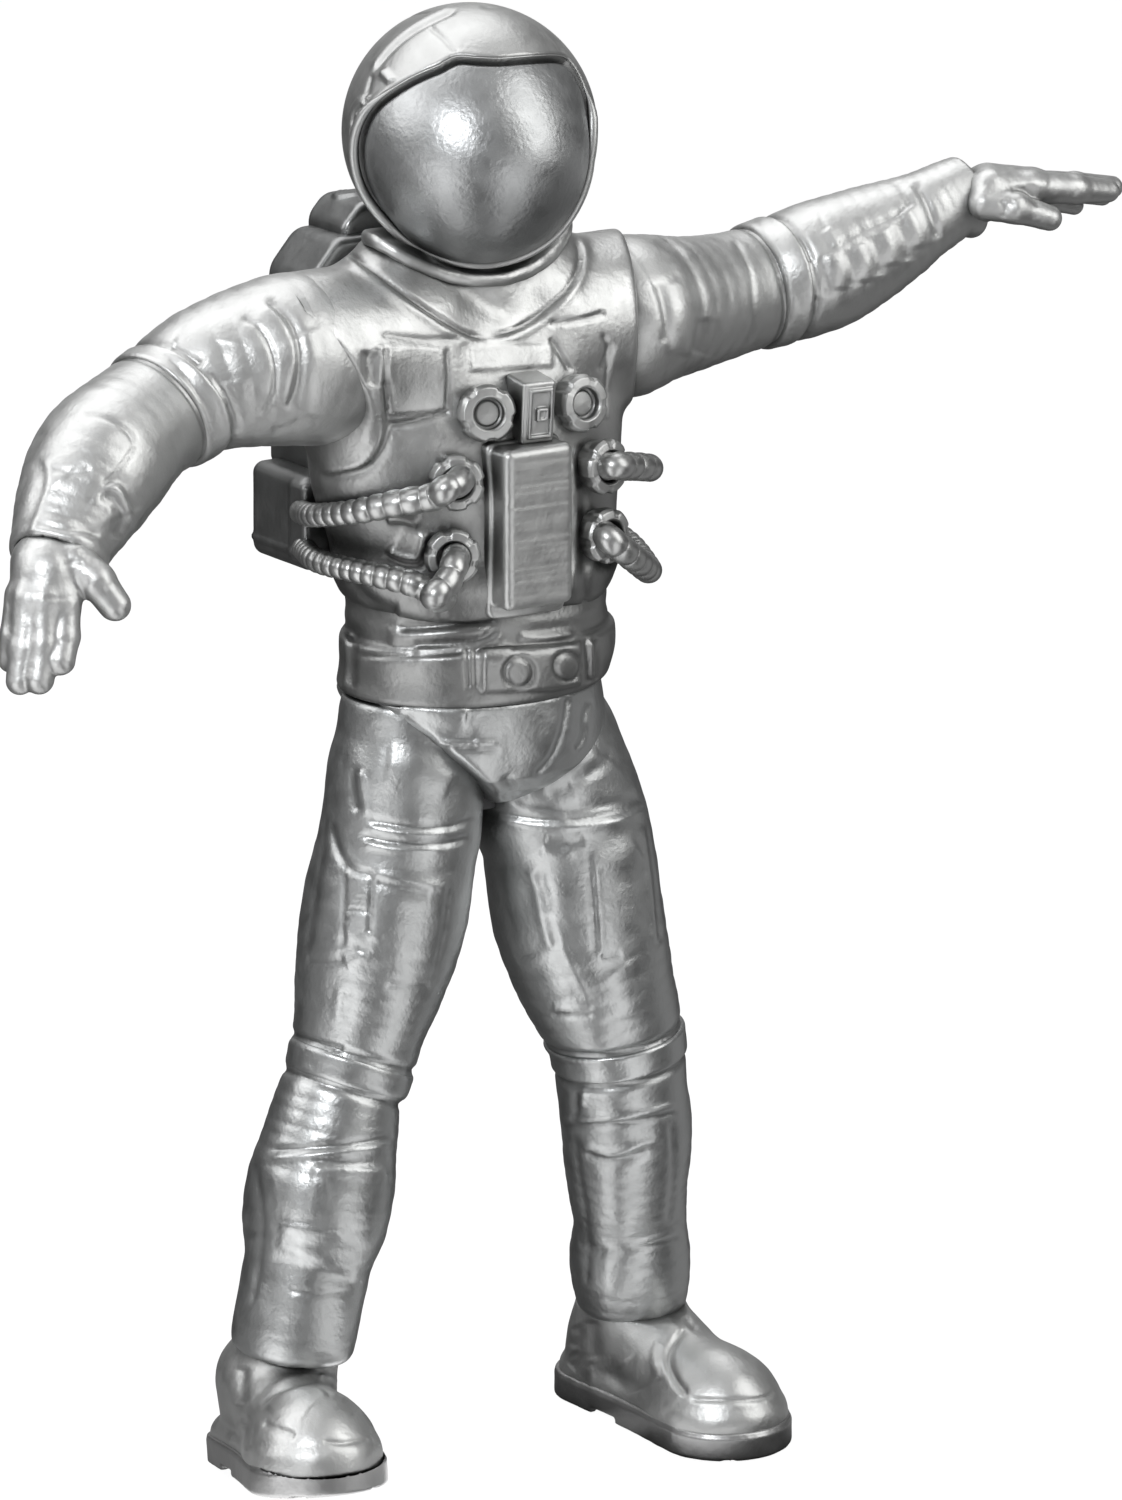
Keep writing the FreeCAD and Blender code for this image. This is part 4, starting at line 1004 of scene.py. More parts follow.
# side, field, low and high bounds, mesh step, line strength, first noise seed
for s, field, low, high, step, strength, seed in (
        ("r", glove_right, (-78, -24, 96), (-52, 0, 126), 0.24, .32, 21),
        ("l", glove_left, (63, -19, 138), (95, 4, 154), 0.22, .4, 23)):
    relief = total(carve(GLOVE_LINES[s], strength=strength), uneven(seed, 3.5, .05),
                   uneven(seed + 1, 1.6, .02))
    ride(build("glove_hand_" + s, field, low, high, step, "silver_suit", relief),
         "hand_" + s, "glove_" + s)

# ------------------------------------------------------------------ trouser hips
# z, half width, half depth
HIPS = np.array([
    (78, 17.0, 3.5), (80.5, 18.0, 4.5), (82, 18.4, 8.0), (84, 18.4, 11.0), (86, 18.2, 12.6),
    (88, 17.8, 13.2), (91, 17.2, 13.6), (96, 16.4, 13.3)])
LEG_OPENINGS = [half_space((0, 0, 81.0), (.68, 0, .73)), half_space((0, 0, 80.8), (-.51, 0, .86))]


def hips_field(points):
    z = points[:, 2]
    radii = np.stack([np.interp(z, HIPS[:, 0], HIPS[:, i]) for i in (1, 2)], 1)
    value = ellipse(points[:, :2] - vec(0, .2), radii)
    for opening in LEG_OPENINGS:
        value = smooth_max(value, -opening(points), .9)
    value = smooth_max(value, 79.6 - z, 2.0)
    return smooth_max(value, z - 95.35, .4)


HIPS_LINES = [
    ("ridge", .22, .40, [(-13.97, 84.44), (-8.75, 84.2), (-2.67, 84.32), (3.77, 84.32)]),
    ("groove", .22, .40, [(-13.97, 83.83), (-8.75, 83.59), (-2.67, 83.71), (3.77, 83.59)]),
    ("groove", .28, 1.3, [(-8.99, 88.21), (-6.2, 86.63), (-2.92, 85.05), (0.97, 84.56)]),
    ("fold", .30, 1.5, [(-8.75, 89.67), (-5.1, 88.69), (-0.24, 87.72)]),
    ("groove", .30, .40, [(11.54, 90.4), (10.94, 86.02), (9.72, 82.86), (7.41, 80.19)]),
    ("groove", .30, .36, [(14.46, 89.67), (13.73, 87.72), (13.61, 85.41), (12.39, 83.35)]),
    ("groove", .50, .60, [(-14.34, 90.64), (-14.7, 87.24), (-14.46, 81.41)]),
    ("ridge", .40, .60, [(-15.19, 90.64), (-15.55, 86.02), (-15.31, 81.41)]),
    ("groove", .30, .60, [(4.01, 80.55), (4.86, 78.73), (3.4, 77.52)]),
]
ride(build("trouser_hips", hips_field, (-20.5, -15, 77), (20.5, 15.5, 96), 0.32, "silver_suit",
           total(carve(HIPS_LINES), uneven(41, 7.0, .10), uneven(42, 2.6, .03))),
     "pelvis", "trouser_seat")

# ------------------------------------------------------------------ trouser legs
# x, y, z, radius from the hip to the hem
LEG_SPINE = {
    "r": spline([
        (-9.2, 0, 85, 9.3), (-9.9, -.2, 79.5, 9.35), (-12.1, 0, 68.8, 9.93),
        (-13.9, 0, 61.9, 9.16), (-15.6, 0, 55.7, 7.95), (-17.3, 0, 50.0, 7.45),
        (-18.63, -0.2, 47.37, 7.25), (-20.45, -0.4, 41.35, 8.1), (-22.3, -0.8, 34.71, 8.9),
        (-23.95, -1.2, 28.17, 7.66), (-25.6, -1.6, 22.34, 7.54), (-26.73, -1.8, 18.04, 7.3),
        (-27.45, -2, 14.23, 6.2)]),
    "l": spline([
        (9.9, 0, 85, 9.9), (12.61, -1.2, 75.9, 10.2), (13.81, -2.4, 64.89, 10.4),
        (15.77, -3.7, 56.2, 9.3), (17.87, -4.5, 49.85, 8.14), (18.85, -4.6, 42.79, 7.9),
        (20.09, -3.8, 36.67, 7.96), (20.95, -2.7, 29.86, 7.36), (21.89, -1.9, 24.46, 6.9),
        (22.58, -0.9, 18.52, 7.42), (23.36, -0.2, 13.28, 6.5), (23.6, 0, 10.4, 5.6)]),
}
# the hem plane: centre and downward axis
HEM = {"r": (vec(-27.25, -2, 16.82), unit((-.14, .05, -1))),
       "l": (vec(23.5, 0, 12.4), unit((.05, .05, -1)))}
LEG_TOP = {"r": cone((-8.4, 0, 92), (-9.7, -.2, 79), 8.5, 9.2),
           "l": cone((8.2, 0, 92), (10.4, -.6, 79), 8.5, 9.7)}
KNEE_BAND = {
    "r": dict(centre=vec(-17.5, 0, 49.9), axis=unit((-.416, -.045, -1)), grow=.22, half=1.85,
              edge_round=1.1),
    "l": dict(centre=vec(17.84, -4.9, 48.02), axis=unit((.17, -.006, -1)), grow=.35, half=1.7,
              edge_round=.45),
}
LEG_BOUNDS = {"r": ((-36, -14, 9), (1, 13, 96)), "l": ((-1, -16, 7), (35, 12, 96))}
LEG_LINES = {"r": [
    ("groove", .55, .50, [(-12.88, 75.09), (-9.36, 74.48), (-5.95, 74.11), (-2.43, 74.36),
                          (0.73, 75.57)]),
    ("ridge", .30, .50, [(-12.88, 74.36), (-9.36, 73.63), (-5.95, 73.39), (-2.43, 73.75)]),
    ("groove", .60, .45, [(-13.61, 73.26), (-9.96, 72.41), (-6.8, 72.17), (-3.16, 72.29),
                          (0.24, 73.02)]),
    ("ridge", .30, .50, [(-13.37, 72.41), (-9.96, 71.56), (-6.8, 71.44), (-3.16, 71.56)]),
    ("groove", .30, .34, [(-15.43, 69.98), (-15.55, 65.37), (-15.67, 59.29)],
     {"straight": True}),
    ("groove", .30, .34, [(-12.15, 69.01), (-12.27, 64.76), (-12.51, 61.11)]),
    ("groove", .22, .34, [(-15.43, 64.15), (-13.85, 64.15), (-12.27, 63.91)]),
    ("groove", .18, .36, [(-2.67, 67.07), (-3.4, 61.72), (-4.86, 54.92)]),
    ("groove", .30, .36, [(-10.45, 55.04), (-7.78, 55.04), (-4.86, 55.04)]),
    ("groove", .55, .50, [(-17.25, 75.09), (-16.77, 72.66), (-15.67, 70.23), (-14.09, 68.89),
                          (-11.91, 68.53)]),
    ("ridge", .35, .60, [(-11.91, 68.53), (-8.75, 67.8), (-5.1, 67.07), (-2.67, 66.83)]),
    ("groove", .32, .7, [(-11.91, 67.8), (-8.75, 66.83), (-5.1, 66.22)]),
    ("groove", .22, .9, [(-13.37, 61.72), (-12.88, 60.26), (-13.85, 59.05)]),
    ("ridge", .18, .7, [(-15.43, 62.94), (-14.58, 61.11), (-12.39, 60.99), (-10.69, 60.51)]),
    ("ridge", .18, .7, [(-15.43, 57.35), (-14.09, 57.83), (-12.88, 58.68), (-11.66, 59.9)]),
    ("groove", .15, .7, [(-14.82, 55.04), (-15.07, 53.22), (-15.55, 50.79)]),
    ("ridge", .18, .6, [(-16.04, 55.04), (-16.28, 52.61), (-16.52, 50.54)]),
    ("groove", .30, .6, [(-20.29, 58.08), (-17.86, 57.83), (-15.43, 58.32)]),
    ("groove", .30, .5, [(-18.71, 77.52), (-18.22, 72.66), (-19.2, 65.37), (-20.29, 58.08)]),
    ("groove", .45, .6, [(-14.34, 81.65), (-14.58, 78.73), (-13.85, 76.06)]),
    ("ridge", .35, .6, [(-13.61, 81.16), (-13.12, 78.12), (-12.64, 75.69)]),
    ("fold", .35, 2.4, [(-10.57, 82.38), (-6.32, 81.77), (-2.07, 79.34)]),
    ("groove", .40, .50, [(-22.11, 48.84), (-18.47, 47.87), (-15.43, 47.14)]),
    ("groove", .45, .50, [(-25.03, 34.75), (-22.11, 34.99), (-18.22, 35.23), (-13.61, 35.84),
                          (-9.23, 36.69)]),
    ("ridge", .40, .55, [(-24.79, 34.14), (-20.9, 34.38), (-17.25, 34.63), (-12.15, 35.23),
                         (-9.23, 35.96)]),
    ("step", .55, .60, [(-9.96, 33.05), (-13.61, 32.93), (-17.25, 33.05), (-19.68, 33.29)],
     {"fade": 3.0}),
    ("fold", .25, 1.8, [(-24.54, 30.13), (-20.9, 30.74), (-17.25, 31.35)]),
    ("ridge", .30, .8, [(-23.81, 25.52), (-19.68, 25.27), (-15.43, 25.03)]),
    ("step", .30, .90, [(-24.3, 23.21), (-20.9, 21.87), (-17.25, 20.66), (-13.37, 18.71)],
     {"fade": 4.0}),
    ("groove", .18, .36, [(-22.6, 17.98), (-19.68, 17.62), (-16.77, 17.62), (-14.46, 17.74)]),
    ("groove", .40, .50, [(-26.73, 34.99), (-26, 30.13), (-25.52, 25.27), (-26, 20.41),
                          (-26.97, 15.55)]),
    ("fold", -.40, 1.4, [(-27.58, 33.78), (-26.97, 28.92), (-26.73, 24.06)]),
], "l": [
    ("groove", .45, .70, [(4.74, 77.4), (7.05, 76.67), (10.45, 76.18), (14.34, 76.55),
                          (17.62, 77.15), (21.02, 78)]),
    ("ridge", .35, .60, [(3.4, 77.88), (5.83, 76.79), (8.87, 75.82), (11.91, 75.33)]),
    ("step", .70, .45, [(21.38, 77.15), (19.2, 76.18), (17.01, 75.45), (13.12, 74.84),
                        (8.99, 74.84), (5.22, 75.33), (2.07, 76.06)], {"fade": 2.0}),
    ("ridge", .30, .50, [(3.4, 75.09), (7.05, 74.24), (10.69, 73.99), (14.94, 74.36),
                         (19.2, 75.33)]),
    ("fold", .45, 1.4, [(5.83, 78.49), (9.23, 79.46), (13.12, 81.41), (15.55, 83.59)]),
    ("groove", .40, .9, [(8.87, 78.49), (12.15, 79.7), (15.55, 81.77), (17.01, 83.83)]),
    ("fold", .30, 1.6, [(11.66, 78.97), (14.94, 80.19), (17.37, 82.38)]),
    ("ridge", .25, .50, [(14.82, 69.98), (15.31, 65.37), (15.67, 58.44)]),
    ("groove", .30, .50, [(14.34, 69.01), (14.82, 64.15), (15.19, 58.44)]),
    ("groove", .30, .45, [(15.67, 58.32), (16.77, 58.68), (18.22, 58.81)]),
    ("ridge", .28, .65, [(7.05, 69.5), (8.02, 65.37), (9.6, 59.05)]),
    ("groove", .25, .70, [(8.02, 69.25), (9.23, 64.76), (10.45, 59.53)]),
    ("ridge", .25, .60, [(9.23, 64.76), (10.94, 59.9), (12.88, 55.65), (14.46, 52.85)]),
    ("ridge", .35, .50, [(9.6, 52.12), (11.91, 52), (14.82, 52.12)]),
    ("groove", .28, .50, [(9.6, 51.52), (11.91, 51.39), (14.82, 51.52)]),
    ("groove", .45, .45, [(21.26, 74.72), (22.23, 67.8), (22.84, 59.78)]),
    ("ridge", .40, .45, [(20.53, 74.72), (21.63, 67.19), (22.36, 59.78)]),
    ("fold", .40, 1.6, [(14.34, 69.62), (17.37, 70.23), (20.41, 71.69)]),
    ("fold", -.35, 1.8, [(7.05, 67.8), (6.44, 62.94), (7.65, 58.08)]),
    ("fold", .35, 2.4, [(16.77, 56.86), (18.59, 53.82), (19.2, 50.79)]),
    ("groove", .35, .7, [(8.87, 72.9), (11.3, 72.41), (13.73, 72.9)]),
    ("ridge", .3, .7, [(8.26, 71.44), (10.69, 70.71), (12.51, 71.44)]),
    ("ridge", .50, .45, [(10.57, 38.64), (14.34, 38.64), (18.59, 39), (22.23, 39.73),
                         (25.27, 40.58)]),
    ("groove", .40, .45, [(10.57, 38.03), (14.34, 37.91), (18.59, 38.27), (22.23, 39),
                          (25.27, 39.85)]),
    ("ridge", .55, .55, [(13.12, 35.84), (15.55, 34.75), (17.62, 34.63), (20.41, 35.6),
                         (23.33, 36.33)]),
    ("groove", .40, .60, [(13.73, 34.75), (16.16, 33.78), (18.59, 34.02), (21.63, 34.99)]),
    ("groove", .40, .50, [(12.27, 24.06), (14.94, 23.09), (17.98, 22.84), (21.63, 23.45),
                          (26, 24.54)]),
    ("step", .40, .60, [(25.76, 26.24), (22.23, 24.54), (18.59, 23.33), (15.55, 23.33)],
     {"fade": 2.5}),
    ("groove", .40, .50, [(12.76, 42.28), (12.64, 39.85), (12.39, 38.03)]),
    ("ridge", .35, .5, [(13.49, 42.52), (13.37, 40.09)]),
    ("groove", .30, .45, [(12.51, 37.42), (12.88, 32.56), (13.73, 27.7), (14.09, 22.84),
                          (13.85, 17.98)]),
    ("groove", .35, .50, [(24.3, 38.64), (24.54, 33.78), (24.3, 28.92), (23.81, 25.88)]),
]}


def trouser_leg(s, limb):
    def field(points):
        top = smooth_max(LEG_TOP[s](points), points[:, 2] - 95.0, .5)
        value = smooth_min(limb(points), top, 1.0)
        value = open_end(value, *on_axis(points, *HEM[s]), 1.4, 5.9, 3.0, .3)
        # the legs part at the middle
        return smooth_max(value, .18 - SIGN[s] * points[:, 0], .5)
    return field


for s in "rl":
    spine, band = LEG_SPINE[s], KNEE_BAND[s]
    limb = tube(spine)
    bodies = ("thigh_" + s, "shin_" + s)
    reach = unit(ANKLE[s] - HIP[s]) * 7
    relief = total(
        carve(LEG_LINES[s], strength=.55),
        limb_folds(spine, height=.16, pitch=.95, sway=1.1, axis=0, start=(10, 15), end=(9, 5)),
        band_bed(band["centre"], band["axis"], 2.2, .5), uneven(51, 8.0, .10),
        uneven(52, 2.8, .035))
    piece = build("leg_" + s, trouser_leg(s, limb), *LEG_BOUNDS[s], 0.34, "silver_suit", relief)
    bend(piece, *bodies, KNEE[s], reach, "thigh_suit_" + s, "shin_suit_" + s)
    piece = build_band("knee_band_ring_" + s, limb, **band, extent=11.5, step=.28, seed=53)
    bend(piece, *bodies, KNEE[s], reach, "knee_band_" + s)

# ------------------------------------------------------------------ boots
# Boot coordinates: x across, y towards the toe, z above the bottom of the sole.
ANKLE_HEIGHT = 12.8
FOOT_PITCH = {"r": math.radians(10.4), "l": 0.0}
FOOT_SHIFT = {"r": vec(0, 5.2, 0.03), "l": vec(0, 0, 0)}
TOE_DIRECTION = {"r": unit((-0.2334, -0.9724, 0)), "l": unit((0.10, -0.995, 0))}
HEEL = {"r": cone((0, -4.2, 3.0), (0, -2.6, 5.0), 5.3, 4.9),
        "l": cone((0, -4.2, 3.0), (0, -3.4, 8.0), 5.7, 5.5)}
SHAFT_X = {"r": 1.2, "l": 0.0}


def foot_axes(s):
    """Rows: sideways, towards the toe, up from the sole"""
    level = TOE_DIRECTION[s]
    cos, sin = math.cos(FOOT_PITCH[s]), math.sin(FOOT_PITCH[s])
    side = unit(np.cross(vec(0, 0, 1), level))
    return np.stack([side, level * cos + vec(0, 0, sin), -level * sin + vec(0, 0, cos)])


def to_foot(points, s):
    return (points - (ANKLE[s] + FOOT_SHIFT[s])) @ foot_axes(s).T + vec(0, 0, ANKLE_HEIGHT)


def egg(points, heel_y, heel_radius, toe_y, toe_radius, waist=.35):
    """Sole outline: heel circle, toe circle and slightly waisted flanks"""
    x, y = points[:, 0], points[:, 1]
    t = np.clip((y - heel_y) / (toe_y - heel_y), 0, 1)
    radius = heel_radius + (toe_radius - heel_radius) * t - waist * np.sin(math.pi * t) ** 2
    return np.sqrt(x ** 2 + (y - (heel_y + (toe_y - heel_y) * t)) ** 2) - radius


def boot(s):
    top = foot_axes(s) @ -FOOT_SHIFT[s]
    instep = cone((0, 0.5, 10.6), (0, 13.5, 4.4), 6.2, 6.2)
    shaft = cone((SHAFT_X[s], -1.2 + .35 * top[1], 7.0),
                 (top[0] * .9 + SHAFT_X[s], top[1] - .2, 16.6 + top[2]), 6.4, 6.15)
    hem_centre, hem_axis = HEM[s]

    def field(points):
        local = to_foot(points, s)
        z = local[:, 2]
        outline = egg(local, -4.9, 5.7, 17.3, 7.75)
        toe = ellipse(local - vec(0, 16.2, 2.8), vec(8.0, 9.0, 8.6))
        value = smooth_min(toe, instep(local), 2.2)
        value = smooth_min(value, HEEL[s](local), 2.5)
        value = smooth_min(value, shaft(local), 2.0)
        value = smooth_min(value, smooth_max(outline, z - 5.2, 2.0), 1.0)
        value = smooth_max(value, 2.2 - z, .1)
        value = smooth_max(value, outline - .35, .5)
        # keep clear of the hem, except close to the ankle
        clear = np.minimum(-((points - hem_centre) @ hem_axis) - 1.0,
                           lengths(points - ANKLE[s]) - 5.8)
        return smooth_max(value, clear, .3)
    return field


def sole(s):
    def field(points):
        local = to_foot(points, s)
        y, z = local[:, 1], local[:, 2]
        base = smooth_max(egg(local, -5.1, 6.15, 17.4, 8.3), np.abs(z - 1.5) - 1.5, .35)
        # thin welt on top
        welt = smooth_max(egg(local, -5.1, 5.95, 17.4, 8.0) - .1, np.abs(z - 1.9) - 1.5, .3)
        value = smooth_min(base, welt, .12)
        # arch notch in front of the heel
        notch = smooth_max(np.abs(y - 2.4) - 2.4, z - 0.75, .4)
        return smooth_max(value, -notch, .3)
    return field


def tread(s):
    def relief(points, normals):
        x, y, _ = to_foot(points, s).T
        down = ease(-(normals @ foot_axes(s)[2]), .5, .9)
        return -.30 * down * (np.cos(y * 2.1) > .35) * (np.abs(x) < 5.6)
    return relief


BOOT_LINES = {"r": [
    ("step", .55, .45, [(-17.13, 4.86), (-17.86, 5.83), (-19.56, 6.56), (-20.9, 6.44),
                        (-22.11, 6.08), (-23.94, 5.22), (-25.52, 3.77)], {"fade": 2.0}),
    ("groove", .45, .42, [(-25.52, 3.77), (-23.94, 5.22), (-22.11, 6.08), (-20.9, 6.44),
                          (-19.56, 6.56), (-17.86, 5.83), (-17.13, 4.86)]),
    ("ridge", .35, .6, [(-27.46, 3.16), (-25.52, 4.37), (-22.72, 6.8), (-20.17, 7.53),
                        (-17.25, 6.56)]),
    ("groove", .32, .32, [(-18.22, -0.36), (-16.04, -0.61), (-13.85, -0.36), (-12.39, -0.12)]),
    ("groove", .35, .5, [(-25.52, 1.82), (-23.33, 0.97), (-21.38, 0.24)]),
    ("groove", .55, .7, [(-27.82, 8.75), (-27.95, 6.44), (-28.19, 4.01)]),
    ("ridge", .35, .5, [(-29.4, -0.24), (-28.19, -0.73), (-27.58, -2.07)]),
    ("groove", .40, .6, [(-28.43, 2.19), (-27.22, 1.21), (-27.46, -1.46)]),
    ("groove", .35, .5, [(-15.43, 4.86), (-14.58, 3.65), (-14.09, 2.79)]),
    ("ridge", .35, .4, [(-18.71, 7.53), (-17.25, 7.29), (-15.92, 6.56)]),
], "l": [
    ("groove", .48, .42, [(26, 13.61), (25.03, 12.39), (23.94, 10.81), (23.69, 9.48),
                          (24.06, 8.02), (25.03, 6.32), (26.24, 4.98)]),
    ("step", .50, .45, [(26.24, 4.98), (25.03, 6.32), (24.06, 8.02), (23.69, 9.48),
                        (23.94, 10.81), (25.03, 12.39), (26, 13.61)], {"fade": 2.0}),
    ("groove", .34, .32, [(26.24, 4.74), (29.52, 4.62), (33.17, 4.62), (35.48, 4.86),
                          (36.94, 5.83)]),
    ("groove", .50, .8, [(14.58, 14.34), (14.58, 11.91), (14.82, 9.48)]),
    ("groove", .35, .8, [(12.51, 13.73), (12.88, 12.51), (12.27, 10.94)]),
    ("groove", .35, .8, [(12.15, 10.45), (12.88, 9.48), (11.91, 8.5)]),
    ("fold", -.35, 1.5, [(18.22, 9.23), (19.44, 7.65), (20.41, 5.59)]),
    ("ridge", .35, .6, [(22.84, 11.91), (22.23, 9.48), (22.84, 7.05)]),
    ("groove", .40, .5, [(25.88, 14.82), (26.49, 14.09), (27.34, 13.37)]),
    ("ridge", .35, .5, [(14.34, 8.75), (14.58, 7.05), (14.34, 5.83)]),
]}
for s in "rl":
    x, y, z = ANKLE[s] + FOOT_SHIFT[s]
    low_x = x - (13 if s == "l" else 14)
    relief = total(carve(BOOT_LINES[s], strength=.6), uneven(61, 6.0, .07), uneven(62, 2.4, .025))
    ride(build("boot_upper_" + s, boot(s), (low_x, y - 29, 0.4), (x + 14, y + 13, z + 8), 0.28,
               "silver_suit", relief), "foot_" + s, "boot_" + s)
    ride(build("boot_sole_" + s, sole(s), (x - 13, y - 30, -1.2), (x + 13, y + 14, 9), 0.26,
               "silver_sole", total(tread(s), uneven(63, 3.0, .03))), "foot_" + s, "sole_" + s)

# ------------------------------------------------------------------ helmet opening
# The drawn outline of the opening, and the radius of the sphere it is laid on.
RIM_OUTLINE = [
    (-9.23, 162.93), (-12.15, 160.62), (-13.49, 157.83), (-13.61, 154.55), (-12.51, 151.15),
    (-9.84, 147.74), (-6.44, 145.07), (-2.92, 143.37), (0.73, 142.52), (3.04, 142.4),
    (5.22, 143.37), (8.63, 146.53), (11.54, 149.93), (13.49, 154.06), (14.09, 159.04),
    (13.61, 163.17), (12.15, 166.21), (10.94, 167.18), (7.65, 166.94), (3.89, 166.45),
    (0.97, 166.45), (-1.7, 166.58), (-3.89, 165.48)]
RIM_RADIUS = 15.3
BROW_HEIGHTS = (160.38, 164.51)
OPENING_AXIS = unit((-0.02, -0.93, -0.10))
OPENING_X = unit(np.cross(OPENING_AXIS, vec(0, 0, 1)))
OPENING_Y = np.cross(OPENING_X, OPENING_AXIS)
VISOR_SHIFT = VISOR_CENTRE - HELMET_CENTRE


def rim_directions():
    """Directions from the helmet centre to the smoothed, closed outline"""
    flat = (vec(*RIM_OUTLINE).reshape(-1, 2) - to_drawing(HELMET_CENTRE[None])) / RIM_RADIUS
    length = lengths(flat)
    limited = np.minimum(length, 0.985)
    flat = flat * (limited / length)[:, None]
    depth = np.sqrt(1 - limited * limited)
    found = unit(flat[:, :1] * VIEW_RIGHT + flat[:, 1:] * VIEW_UP + depth[:, None] * TO_CAMERA)
    return unit(spline(np.vstack([found[-1:], found]), 5))


def flatten(directions):
    """Azimuthal map about the opening's axis, in mm on the helmet sphere"""
    angle = np.arccos(np.clip(directions @ OPENING_AXIS, -1, 1))
    x, y = directions @ OPENING_X, directions @ OPENING_Y
    length = np.sqrt(x * x + y * y) + 1e-12
    return np.stack([x / length * angle, y / length * angle], 1) * HELMET_RADIUS


def brow(directions):
    """0 to 1 towards the top of the opening"""
    return ease(to_drawing(HELMET_CENTRE + directions * HELMET_RADIUS)[:, 1], *BROW_HEIGHTS)


def visor_reach(directions):
    """Distance from the helmet centre to the visor sphere"""
    along = directions @ VISOR_SHIFT
    square = along ** 2 - VISOR_SHIFT @ VISOR_SHIFT + VISOR_RADIUS ** 2
    return along + np.sqrt(np.maximum(square, 0))


def dome(rings, segments):
    """A sphere of directions round the opening's axis"""
    tilt = np.linspace(0, math.pi, rings + 1)[1:-1, None, None]
    around = np.linspace(0, 2 * math.pi, segments, endpoint=False)[:, None]
    across = OPENING_X * np.cos(around) + OPENING_Y * np.sin(around)
    body = (OPENING_AXIS * np.cos(tilt) + across * np.sin(tilt)).reshape(-1, 3)
    directions = np.vstack([OPENING_AXIS, body, -OPENING_AXIS])
    faces = np.vstack([
        fan(1, segments, 0),
        1 + grid_faces(rings - 1, segments, closed=False)[:, ::-1],
        fan(1 + (rings - 2) * segments, segments, len(directions) - 1, flip=True)])
    return directions, faces


def keep_points(points, faces, keep):
    faces = faces[keep[faces].all(1)]
    used = np.unique(faces)
    renumber = np.full(len(points), -1)
    renumber[used] = np.arange(len(used))
    return points[used], renumber[faces]


RIM = rim_directions()
DOME, DOME_FACES = dome(*(((200, 380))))
# distance into the opening, negative on the shell
OPENING = inset(flatten(DOME), flatten(RIM))

# ------------------------------------------------------------------ helmet shell
HELMET_LINES = [
    ("groove", .26, .26, [(-12.15, 165.73), (-9.84, 168.52), (-7.78, 170.34), (-5.59, 171.68),
                          (-1.58, 173.62)]),
    ("ridge", .20, .35, [(-12.51, 166.21), (-10.21, 169.01), (-8.14, 170.83), (-5.83, 172.29),
                         (-2.07, 174.11)]),
    ("groove", .30, .30, [(-5.35, 171.68), (-3.4, 169.98), (-1.58, 167.91)]),
    ("ridge", .45, .50, [(-11.06, 166.09), (-9.96, 165), (-8.75, 163.78)]),
    ("groove", .25, .30, [(0.73, 174.11), (4.62, 173.62), (7.41, 172.41), (9.48, 170.59),
                          (10.81, 168.88), (11.06, 167.43)]),
    ("groove", .50, .50, [(10.81, 167.67), (11.18, 166.7), (11.42, 165.48)]),
    ("groove", .30, .30, [(11.3, 167.18), (12.76, 166.21), (13.73, 164.75)]),
    ("groove", .20, .30, [(-12.15, 165.73), (-12.64, 163.78), (-12.88, 162.08)]),
]


def helmet_shell():
    high = brow(DOME)
    lip = (0.34 * (1 - high) + .03 * high) * bell(OPENING, -0.55, 0.52)
    # the shell turns in at the opening
    radius = HELMET_RADIUS + lip - 1.9 * ease(OPENING, -0.25, 0.35)
    points = HELMET_CENTRE + DOME * radius[:, None]
    rise = carve(HELMET_LINES)(points, DOME) * (OPENING < -0.9)
    # a round boss on each side
    for sign in (-1, 1):
        boss = unit((sign * .985, .02, .17))
        away = np.arccos(np.clip(DOME @ boss, -1, 1)) * HELMET_RADIUS
        rise += ((0.35 * (1 - ease(away, 3.0, 3.35)) - .3 * bell(away, 1.7, .25))
                 * (OPENING < -1.2))
    # two seams over the rear
    seam = bell(np.abs(DOME[:, 0]) * HELMET_RADIUS, 4.6, .24)
    rise -= .22 * seam * (DOME[:, 1] > .1) * (DOME[:, 2] > -.45)
    points = points + DOME * rise[:, None]
    keep = (OPENING < 0.5) & (points[:, 2] > HELMET_CENTRE[2] - 13.2)
    return keep_points(points, DOME_FACES, keep)


ride(make("helmet_outer", *helmet_shell(), "silver_hard"), "head", "helmet_shell")


# ------------------------------------------------------------------ visor and its bead
def visor_bubble():
    """Bulging sphere that sits inside the opening"""
    radius = smooth_max(visor_reach(DOME), 14.35, 1.5)
    radius = radius - 0.9 * (1 - ease(OPENING, 0.15, 0.95))
    return keep_points(HELMET_CENTRE + DOME * radius[:, None], DOME_FACES, OPENING > 0.02)


def visor_bead(section=14):
    """Rolled bead that follows the opening"""
    out = RIM[:-1]
    tangent = unit(np.roll(out, -1, 0) - np.roll(out, 1, 0))
    across = unit(np.cross(tangent, out))
    high = brow(out)
    thick = .62 * (1 - high) + .09 * high
    reach = np.maximum(HELMET_RADIUS + .32, visor_reach(out) - .15)
    reach = reach * (1 - high) + high * (HELMET_RADIUS - .05)
    a = 2 * math.pi * np.arange(section) / section
    along_out = (reach[:, None] + thick[:, None] * np.cos(a))[..., None]
    along_across = (thick[:, None] * np.sin(a))[..., None]
    points = HELMET_CENTRE + out[:, None] * along_out + across[:, None] * along_across
    faces = grid_faces(len(out), section, closed=True)[:, [0, 3, 2, 1]]
    return points.reshape(-1, 3), faces


ride(make("visor_bubble", *visor_bubble(), "silver_visor"), "head", "visor")
ride(make("visor_bead", *visor_bead(), "silver_hard"), "head", "visor_rim")

